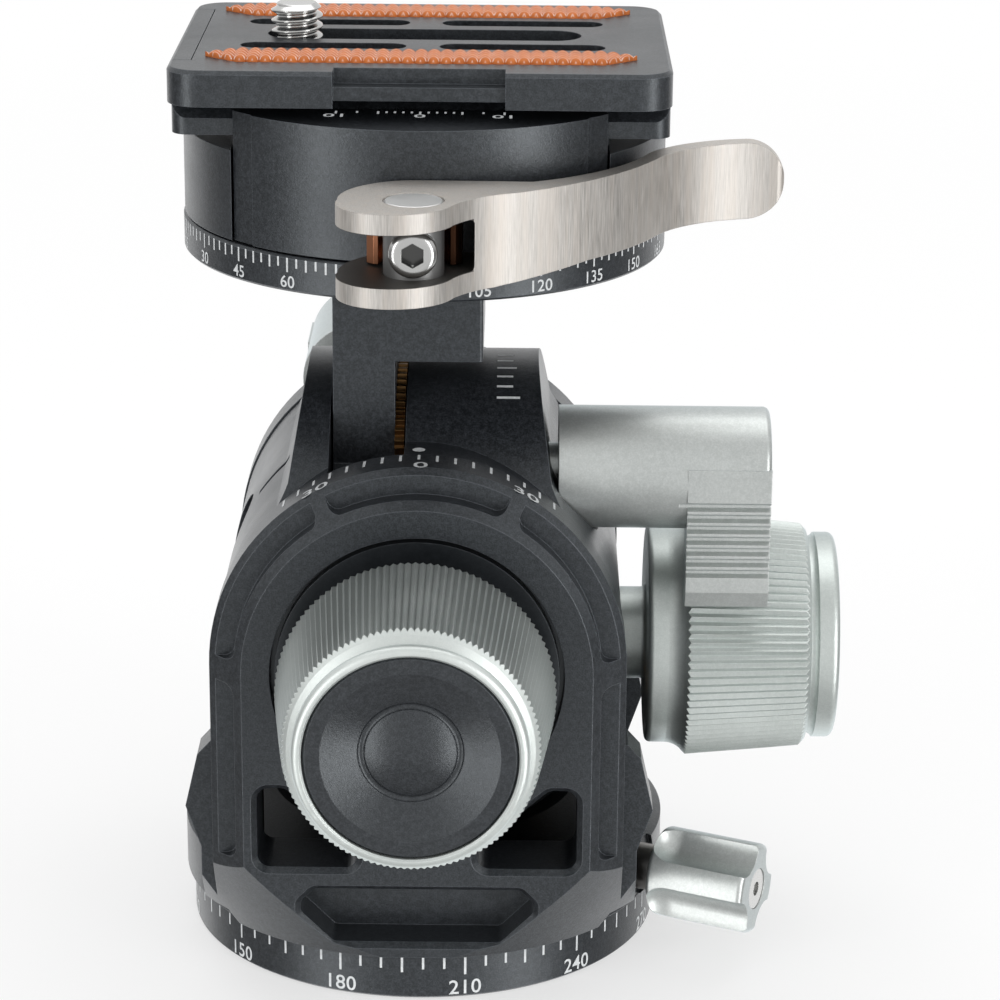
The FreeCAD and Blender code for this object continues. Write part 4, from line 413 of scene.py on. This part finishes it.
plainMetals = {
    "brightSteel": {"dark": (0.52, 0.52, 0.51, 1), "pale": (0.60, 0.60, 0.59, 1),
                    "rough": 0.16, "depth": 0.04},
    "darkSteel": {"dark": (0.22, 0.21, 0.20, 1), "pale": (0.30, 0.29, 0.275, 1),
                  "rough": 0.30, "depth": 0.15},
    "gearBrass": {"dark": (0.22, 0.12, 0.045, 1), "pale": (0.34, 0.20, 0.085, 1),
                  "rough": 0.34, "depth": 0.15},
    # painted shade on the saddle's right side, beside the barrel
    "saddleCopper": {"dark": (0.46, 0.19, 0.10, 1), "pale": (0.60, 0.28, 0.16, 1),
                     "rough": 0.32, "depth": 0.2, "paintedShade": ((2.5, -60, 90), (6.0, 0, 110), 0.08)},
    # painted shade on the barrel below its end disc
    "barrelSteel": {"dark": (0.70, 0.70, 0.69, 1), "pale": (0.80, 0.80, 0.79, 1),
                    "rough": 0.40, "depth": 0.04,
                    "lathe": ((-0.15, -40.2, 105.5), (0.0, 0.0, 1.0), 0.16, 0.5),
                    "paintedShade": ((-5, -46, 90), (5, -30, 105.1), 0.35)},
    "boltSteel": {"dark": (0.56, 0.56, 0.55, 1), "pale": (0.64, 0.64, 0.63, 1),
                  "rough": 0.20, "depth": 0.04,
                  "paintedShade": ((-1.5, -44.35, 98.7), (1.2, -40, 101.4), 0.16)},    # painted shade in the socket
    "washerPolymer": {"dark": (0.62, 0.61, 0.57, 1), "pale": (0.70, 0.69, 0.65, 1),
                      "rough": 0.5, "depth": 0.1},
}
stripRubber = {"dark": (0.46, 0.115, 0.020, 1), "pale": (0.60, 0.170, 0.034, 1),
               "thread": (0.95, 0.86, 0.80, 1), "pitch": 1.53, "row": 1.3, "lean": 1.3,
               "top": 117.7, "ribShare": 0.45}
printWhite = {"dark": (0.58, 0.60, 0.61, 1), "pale": (0.72, 0.74, 0.75, 1)}
shadeGlow = 0.45     # painted light: the jaw scale glows so it reads in the plate's shade

looks = {name: blastedMaterial(name, look) for name, look in finishes.items()}
looks.update({name: plainMetal(name, look) for name, look in plainMetals.items()})
looks["brushedLever"] = brushedMaterial("brushedLever", brushedLever)
looks["stripRubber"] = rubberMaterial("stripRubber", stripRubber)
looks["printWhite"] = printMaterial("printWhite", printWhite)
looks["shadePrint"] = printMaterial("shadePrint", printWhite, shadeGlow)

slotLooks = {
    "black_anodised": "blackCase", "black_satin": "blackTurned", "cap_black": "capBlack",
    "knob_grey": "knobGrey", "lever_grey": "leverGrey", "brushed_lever": "brushedLever",
    "bright_steel": "brightSteel", "dark_steel": "darkSteel", "brass": "gearBrass",
    "copper": "saddleCopper", "orange_rubber": "stripRubber", "washer_polymer": "washerPolymer",
}
nodeLooks = {"roll_knob": "rollKnobGrey", "yoke_frame": "innerYoke", "roll_body": "innerBarrel",
             "cam_barrel": "barrelSteel", "draw_bolt": "boltSteel"}


def dressNodes():
    slots = {part["node"]: part["material_slot"] for part in frame["record"]["subparts"]}
    for name, item in nodes.items():
        look = looks[nodeLooks.get(name, slotLooks[slots[name]])]
        if not item.material_slots:
            item.data.materials.append(look)
        for holder in item.material_slots:
            holder.material = look


dressNodes()
print("materials ready:", len(looks))


# printed scales
def meshItem(name, vertices, faces, look, body):
    mesh = bpy.data.meshes.new(name)
    mesh.from_pydata(vertices, [], faces)
    mesh.materials.append(look)
    item = bpy.data.objects.new(name, mesh)
    bpy.context.scene.collection.objects.link(item)
    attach(item, body)
    return item


def glyphs(text, height, stretch=1.0):    # points and faces of a centred number
    curve = bpy.data.curves.new("numberOutline", "FONT")
    curve.body = text
    curve.align_x = "CENTER"
    curve.size = height / 0.729           # the built-in digits are 0.729 of the size high
    curve.resolution_u = 5
    curve.space_character = 1.04
    curve.offset = height * 0.012
    holder = bpy.data.objects.new("numberOutline", curve)
    mesh = bpy.data.meshes.new_from_object(holder)
    points = [(v.co.x * stretch, v.co.y) for v in mesh.vertices]
    faces = [list(p.vertices) for p in mesh.polygons]
    bpy.data.objects.remove(holder)
    bpy.data.curves.remove(curve)
    bpy.data.meshes.remove(mesh)
    return points, faces


def stroke(across, along, width, length):    # one tick, from along down to along - length
    half = width / 2
    return [(across - half, along - length), (across + half, along - length),
            (across + half, along), (across - half, along)]


# wrap turns flat mm into metres on the surface
def printScale(name, strokes, numbers, wrap, body, stretch=1.0, look="printWhite"):
    points, faces = [], []
    for corners in strokes:
        faces.append([len(points) + k for k in range(4)])
        points += corners
    for text, height, across, along, turned in numbers:
        spots, cells = glyphs(text, height, stretch)
        way = -1 if turned else 1
        faces += [[len(points) + k for k in cell] for cell in cells]
        points += [(across + way * x, along + way * y) for x, y in spots]
    return meshItem(name, [wrap(*p) for p in points], faces, looks[look], body)


def drumWrap(radius):    # upright drum: across is the arc from the front, along the height
    reach = radius + printLift

    def wrap(across, along):
        turn = across / radius
        return (reach * sin(turn) * mm, -reach * cos(turn) * mm, along * mm)
    return wrap


def degreeRing(values):
    radius = values["radius"]
    arc = radians(1) * radius
    strokes, numbers = [], []
    steps = round(360 / values["step"])
    for k in range(steps):
        mark = k * values["step"]
        across = ((mark - values["frontMark"] + 180) % 360 - 180) * arc
        kind = 2 if mark % values["longEvery"] == 0 else 1 if mark % values["mediumEvery"] == 0 else 0
        strokes.append(stroke(across, values["top"], values["width"], values["lengths"][kind]))
        if kind == 2:
            numbers.append((str(int(mark)), values["digits"], across, values["digitFoot"], False))
    printScale(values["name"], strokes, numbers, drumWrap(radius), values["body"])


baseRing = {"name": "base_degree_print", "body": "base", "radius": 30.5, "step": 5,
            "longEvery": 30, "mediumEvery": 15, "frontMark": 198.57, "top": 5.66,
            "lengths": (1.6, 2.05, 2.5), "width": 0.30, "digits": 2.0, "digitFoot": 0.50}
topRing = {"name": "top_degree_print", "body": "pitch_stage", "radius": 30.14, "step": 2.5,
           "longEvery": 15, "mediumEvery": 5, "frontMark": 91.17, "top": 94.86,
           "lengths": (1.15, 1.45, 1.74), "width": 0.26, "digits": 1.5, "digitFoot": 91.25}
degreeRing(baseRing)
degreeRing(topRing)


rollScale = {"radius": 25.66, "axisZ": 43.9, "back": -23.0, "length": 2.25, "zeroLength": 1.75,
             "step": 5, "last": 40, "width": 0.34, "digits": 2.15, "digitTop": -25.65,
             "stretch": 1.27, "shift": 0.28}


def printRollScale(values):
    radius = values["radius"]
    arc = radians(1) * radius
    reach = radius + printLift

    def wrap(across, along):
        turn = across / radius
        return (reach * sin(turn) * mm, along * mm, (reach * cos(turn) + values["axisZ"]) * mm)

    strokes, numbers = [], []
    for mark in range(-values["last"], values["last"] + 1, values["step"]):
        short = mark % 30 == 0
        length = values["zeroLength"] if short else values["length"]
        strokes.append(stroke(mark * arc, values["back"], values["width"], length))
        if short:
            numbers.append((str(abs(mark)), values["digits"], mark * arc + values["shift"],
                            values["digitTop"] - values["digits"], False))
    printScale("roll_degree_print", strokes, numbers, wrap, "yoke", values["stretch"])


printRollScale(rollScale)


rollDot = {"radius": 25.4, "x": -0.135, "y": -20.05, "size": 0.775, "sides": 32}


def printRollDot(values):
    reach = values["radius"] + printLift

    def wrap(across, along):
        turn = across / values["radius"]
        return (reach * sin(turn) * mm, along * mm, (reach * cos(turn) + rollScale["axisZ"]) * mm)

    turns = [2 * pi * k / values["sides"] for k in range(values["sides"])]
    points = [wrap(values["x"] + values["size"] * cos(t), values["y"] + values["size"] * sin(t))
              for t in turns]
    meshItem("roll_index_dot", points, [list(range(values["sides"]))], looks["printWhite"],
             "roll_stage")


printRollDot(rollDot)


pitchScale = {"radius": 25.5, "axisZ": 50.1, "left": 9.3, "lengths": (2.03, 2.47, 2.91),
              "zeroTurn": 24.86, "step": 5, "last": 5, "width": 0.44}


def printPitchScale(values):
    arc = radians(1) * values["radius"]
    strokes = []
    for k in range(values["last"] + 1):
        kind = 2 if k == 0 else 1 if k == 3 else 0
        height = -(values["zeroTurn"] - k * values["step"]) * arc
        half = values["width"] / 2
        left, right = values["left"], values["left"] + values["lengths"][kind]
        strokes.append([(left, height - half), (right, height - half), (right, height + half),
                        (left, height + half)])

    reach = values["radius"] + printLift

    def wrap(across, along):
        turn = along / values["radius"]
        return (across * mm, reach * sin(turn) * mm, (reach * cos(turn) + values["axisZ"]) * mm)

    printScale("pitch_degree_print", strokes, [], wrap, "roll_stage")


printPitchScale(pitchScale)


jawScale = {"z": 111.2, "lengths": (0.9, 1.4), "top": -19.3, "width": 0.26, "digits": 1.7,
            "digitFoot": -22.6, "stretch": 1.25}


def printJawScale(values):
    marks = list(range(-5, 6)) + [-10, -7.5, 7.5, 10]
    strokes = [stroke(m, values["top"], values["width"], values["lengths"][1 if m % 5 == 0 else 0])
               for m in marks]
    numbers = [(str(abs(m)), values["digits"], m, values["digitFoot"] + values["digits"], True)
               for m in (-10, 0, 10)]
    printScale("jaw_scale_print", strokes, numbers,
               lambda across, along: (across * mm, along * mm, (values["z"] + printLift) * mm), "jaw",
               values["stretch"], "shadePrint")


printJawScale(jawScale)
print("scales printed")


# camera screw
screwThread = {"x": -15.7, "y": -1.6, "major": 3.175, "minor": 2.45, "pitch": 1.27, "foot": 113.0,
               "top": 121.0, "sides": 64, "rowsPerPitch": 14, "tipLength": 0.7, "tipInset": 0.15,
               "head": 5.3, "headLow": 109.5, "headHigh": 112.9, "slotDepth": 0.9, "rimWidth": 1.6,
               "lowEdge": 0.4, "highEdge": 0.3, "sink": 0.2}


def threadRadius(values, phase):    # narrow crest, straight flanks and round root
    share = phase % 1.0
    depth = values["major"] - values["minor"]
    slope = abs(share - 0.5) * 2
    return values["minor"] + depth * min(1.0, max(0.0, (slope - 0.12) / 0.72)) ** 1.15


def screwPoint(values, reach, turn, height):
    return ((values["x"] + reach * cos(turn)) * mm, (values["y"] + reach * sin(turn)) * mm, height * mm)


def tubeFaces(rows, sides):    # quads between rings of points
    faces = []
    for row in range(rows):
        for side in range(sides):
            after = (side + 1) % sides
            faces.append([row * sides + side, row * sides + after, (row + 1) * sides + after,
                          (row + 1) * sides + side])
    return faces


def addCameraScrew(values):
    points = []
    sides, tall = values["sides"], values["top"] - values["foot"]
    inner = values["minor"] - values["tipInset"]
    count = round(tall / values["pitch"] * values["rowsPerPitch"])
    for row in range(count + 1):
        height = values["foot"] + tall * row / count
        fade = min(1.0, (values["top"] - height) / values["tipLength"])
        widest = inner + (values["major"] - inner) * fade
        for side in range(sides):
            reach = threadRadius(values, height / values["pitch"] - side / sides)
            points.append(screwPoint(values, min(reach, widest), 2 * pi * side / sides, height))
    faces = tubeFaces(count, sides)
    faces.append([count * sides + side for side in range(sides)])
    stud = meshItem("camera_screw_thread", points, faces, looks["brightSteel"], "screw")
    for face in stud.data.polygons:
        face.use_smooth = len(face.vertices) == 4
    return stud


def addScrewHead(values):
    low, high, head = values["headLow"], values["headHigh"], values["head"]
    profile = [(0.0, low + values["slotDepth"]), (head - values["rimWidth"], low + values["slotDepth"]),
               (head - values["rimWidth"], low), (head - values["lowEdge"], low),
               (head, low + values["lowEdge"]), (head, high - values["highEdge"]),
               (head - values["highEdge"], high), (values["minor"], high),
               (values["minor"], values["foot"] + values["sink"])]
    sides = values["sides"]
    points = [screwPoint(values, radius, 2 * pi * side / sides, height)
              for radius, height in profile for side in range(sides)]
    return meshItem("camera_screw_head", points, tubeFaces(len(profile) - 1, sides),
                    looks["brightSteel"], "screw")


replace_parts(addCameraScrew(screwThread), "camera_screw")
addScrewHead(screwThread)


# rubber strips
strips = {"length": 25.7, "half": 2.92, "point": 3.6, "foot": 116.3, "top": 117.7, "pitch": 1.53,
          "wave": 0.38, "rib": 0.32, "middleY": -1.6, "offset": 14.85, "columns": 540, "rows": 22}


def bulge(values, x):    # round ribs with sharp valleys between them
    return abs(cos(pi * x / values["pitch"])) ** 0.7


def stripHalf(values, x):    # pointed ends and wavy sides
    tip = values["length"] - abs(x)
    plain = values["half"] * min(1.0, tip / values["point"])
    wave = values["wave"] * (2 * bulge(values, x) - 1) * min(1.0, tip / values["point"])
    return max(0.02, plain + wave)


def addStrip(values, row, name, node):
    points, faces = [], []
    middle = values["middleY"] + row * values["offset"]
    columns, lanes = values["columns"], values["rows"]
    for i in range(columns + 1):
        x = -values["length"] + 2 * values["length"] * i / columns
        half = stripHalf(values, x)
        for j in range(lanes + 1):
            share = -1 + 2 * j / lanes
            shoulder = max(0.0, abs(share) - 0.80) / 0.20
            crest = values["rib"] * bulge(values, x)
            z = values["top"] - values["rib"] + crest * (1 - shoulder) - 0.45 * shoulder ** 2
            points.append((x * mm, (middle + half * share) * mm, z * mm))
    for i in range(columns):
        for j in range(lanes):
            first = i * (lanes + 1) + j
            faces.append([first, first + lanes + 1, first + lanes + 2, first + 1])
    rim = ([(i, 0) for i in range(columns + 1)] + [(columns, j) for j in range(1, lanes + 1)]
           + [(i, lanes) for i in range(columns - 1, -1, -1)]
           + [(0, j) for j in range(lanes - 1, 0, -1)])
    start = len(points)
    for i, j in rim:
        x, y, z = points[i * (lanes + 1) + j]
        points.append((x, y, values["foot"] * mm))
    for k, (i, j) in enumerate(rim):
        after = (k + 1) % len(rim)
        i2, j2 = rim[after]
        faces.append([i * (lanes + 1) + j, start + k, start + after, i2 * (lanes + 1) + j2])
    item = meshItem(name, points, faces, looks["stripRubber"], "plate")
    for face in item.data.polygons:
        face.use_smooth = True
    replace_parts(item, node)


addStrip(strips, -1, "rubber_strip_front", "plate_pad_front")
addStrip(strips, 1, "rubber_strip_rear", "plate_pad_rear")
print("screw and strips made")


# stage
stageValues = {"floor": (0.90, 0.90, 0.90, 1), "floorSize": 6.0, "floorZ": -0.0002,
               "white": (1.0, 1.0, 1.0, 1),
               "nearGlow": 0.60, "glowStart": 0.10, "glowEnd": 0.60,
               "frontLevel": 0.78, "backLevel": 0.9, "turnStart": -0.2, "turnEnd": 0.5,
               "sideLevel": 0.22, "sideStart": 0.60, "sideEnd": 0.86,
               "sideLow": -0.05, "sideHigh": 0.20, "highShare": 0.25,
               "lowLevel": 0.45, "lowStart": -0.35, "lowEnd": -0.65,
               "backLow": 1.4, "backLowStart": 0.1, "backLowEnd": -0.2}


def addFloor(values):    # seen by the camera alone; light and reflections take the sky below it
    mesh = bpy.data.meshes.new("studioFloor")
    half = values["floorSize"] / 2
    corners = [(-half, -half), (half, -half), (half, half), (-half, half)]
    mesh.from_pydata([(x, y, values["floorZ"]) for x, y in corners], [], [[0, 1, 2, 3]])
    material, graph, surface = newMaterial("studioFloor")
    surface.inputs["Base Color"].default_value = values["floor"]
    surface.inputs["Roughness"].default_value = 0.8
    surface.inputs["Specular IOR Level"].default_value = 0.1
    glow = graph.add("ShaderNodeEmission")
    glow.inputs["Color"].default_value = values["white"]
    glow.inputs["Strength"].default_value = 1.0
    reach = graph.add("ShaderNodeVectorMath", operation="LENGTH")
    graph.join(graph.add("ShaderNodeTexCoord").outputs["Object"], reach.inputs[0])
    share = graph.ramp(reach.outputs["Value"], values["glowStart"], values["glowEnd"],
                       values["nearGlow"], 1.0)
    ray = graph.add("ShaderNodeLightPath")
    blend = graph.add("ShaderNodeMixShader")
    output = next(n for n in graph.tree.nodes if n.type == "OUTPUT_MATERIAL")
    graph.join(share, blend.inputs[0])
    graph.join(surface.outputs[0], blend.inputs[1])
    graph.join(glow.outputs[0], blend.inputs[2])
    shown = graph.add("ShaderNodeMixShader")
    graph.join(ray.outputs["Is Camera Ray"], shown.inputs[0])
    graph.join(graph.add("ShaderNodeBsdfTransparent").outputs[0], shown.inputs[1])
    graph.join(blend.outputs[0], shown.inputs[2])
    graph.join(shown.outputs[0], output.inputs["Surface"])
    mesh.materials.append(material)
    floor = bpy.data.objects.new("studioFloor", mesh)
    bpy.context.scene.collection.objects.link(floor)


def addSky(values):    # white behind the object, softer in front, dim at both sides
    world = bpy.data.worlds.new("studioSky")
    bpy.context.scene.world = world
    world.use_nodes = True
    world.node_tree.nodes.clear()
    sky = Graph(world.node_tree)
    split = sky.add("ShaderNodeSeparateXYZ")
    sky.join(sky.add("ShaderNodeTexCoord").outputs["Generated"], split.inputs[0])
    height = split.outputs["Z"]
    low = sky.ramp(height, values["lowStart"], values["lowEnd"], values["frontLevel"],
                   values["lowLevel"])
    back = sky.ramp(height, values["backLowStart"], values["backLowEnd"], values["backLevel"],
                    values["backLow"])
    level = sky.ramp(split.outputs["Y"], values["turnStart"], values["turnEnd"], low, back)
    aside = sky.ramp(sky.math("ABSOLUTE", split.outputs["X"]), values["sideStart"], values["sideEnd"])
    beside = sky.math("MULTIPLY", aside, sky.ramp(height, values["sideLow"], values["sideHigh"],
                                                  1.0, values["highShare"]))
    around = sky.math("ADD", sky.math("MULTIPLY", level, sky.math("SUBTRACT", 1.0, beside)),
                      sky.math("MULTIPLY", beside, values["sideLevel"]))
    seen = sky.add("ShaderNodeLightPath").outputs["Is Camera Ray"]
    light = sky.add("ShaderNodeBackground")
    light.inputs["Color"].default_value = values["white"]
    sky.join(sky.math("MAXIMUM", around, seen), light.inputs["Strength"])
    output = sky.add("ShaderNodeOutputWorld")
    sky.join(light.outputs[0], output.inputs["Surface"])


addFloor(stageValues)
addSky(stageValues)

lights = {
    "topBox": {"place": (0.0, 0.22, 0.85), "aim": (0.0, 0.0, 0.07), "size": (0.9, 0.6), "power": 2.4},
    "leftStrip": {"place": (-0.58, -0.54, 0.0), "aim": (0.0, 0.0, 0.0), "size": (0.24, 1.0),
                  "power": 2.6},
    "rightStrip": {"place": (0.60, -0.53, 0.0), "aim": (0.0, 0.0, 0.0), "size": (0.26, 1.0),
                   "power": 3.9},
}


def addLights(values):
    for name, light in values.items():
        data = bpy.data.lights.new(name, "AREA")
        data.shape = "RECTANGLE"
        data.size, data.size_y = light["size"]
        data.energy = light["power"]
        item = bpy.data.objects.new(name, data)
        bpy.context.scene.collection.objects.link(item)
        item.location = light["place"]
        away = Vector(light["place"]) - Vector(light["aim"])
        item.rotation_mode = "QUATERNION"
        item.rotation_quaternion = away.to_track_quat("Z", "Y")


addLights(lights)
bpy.context.scene.view_settings.view_transform = "Standard"
print("stage and lights set")
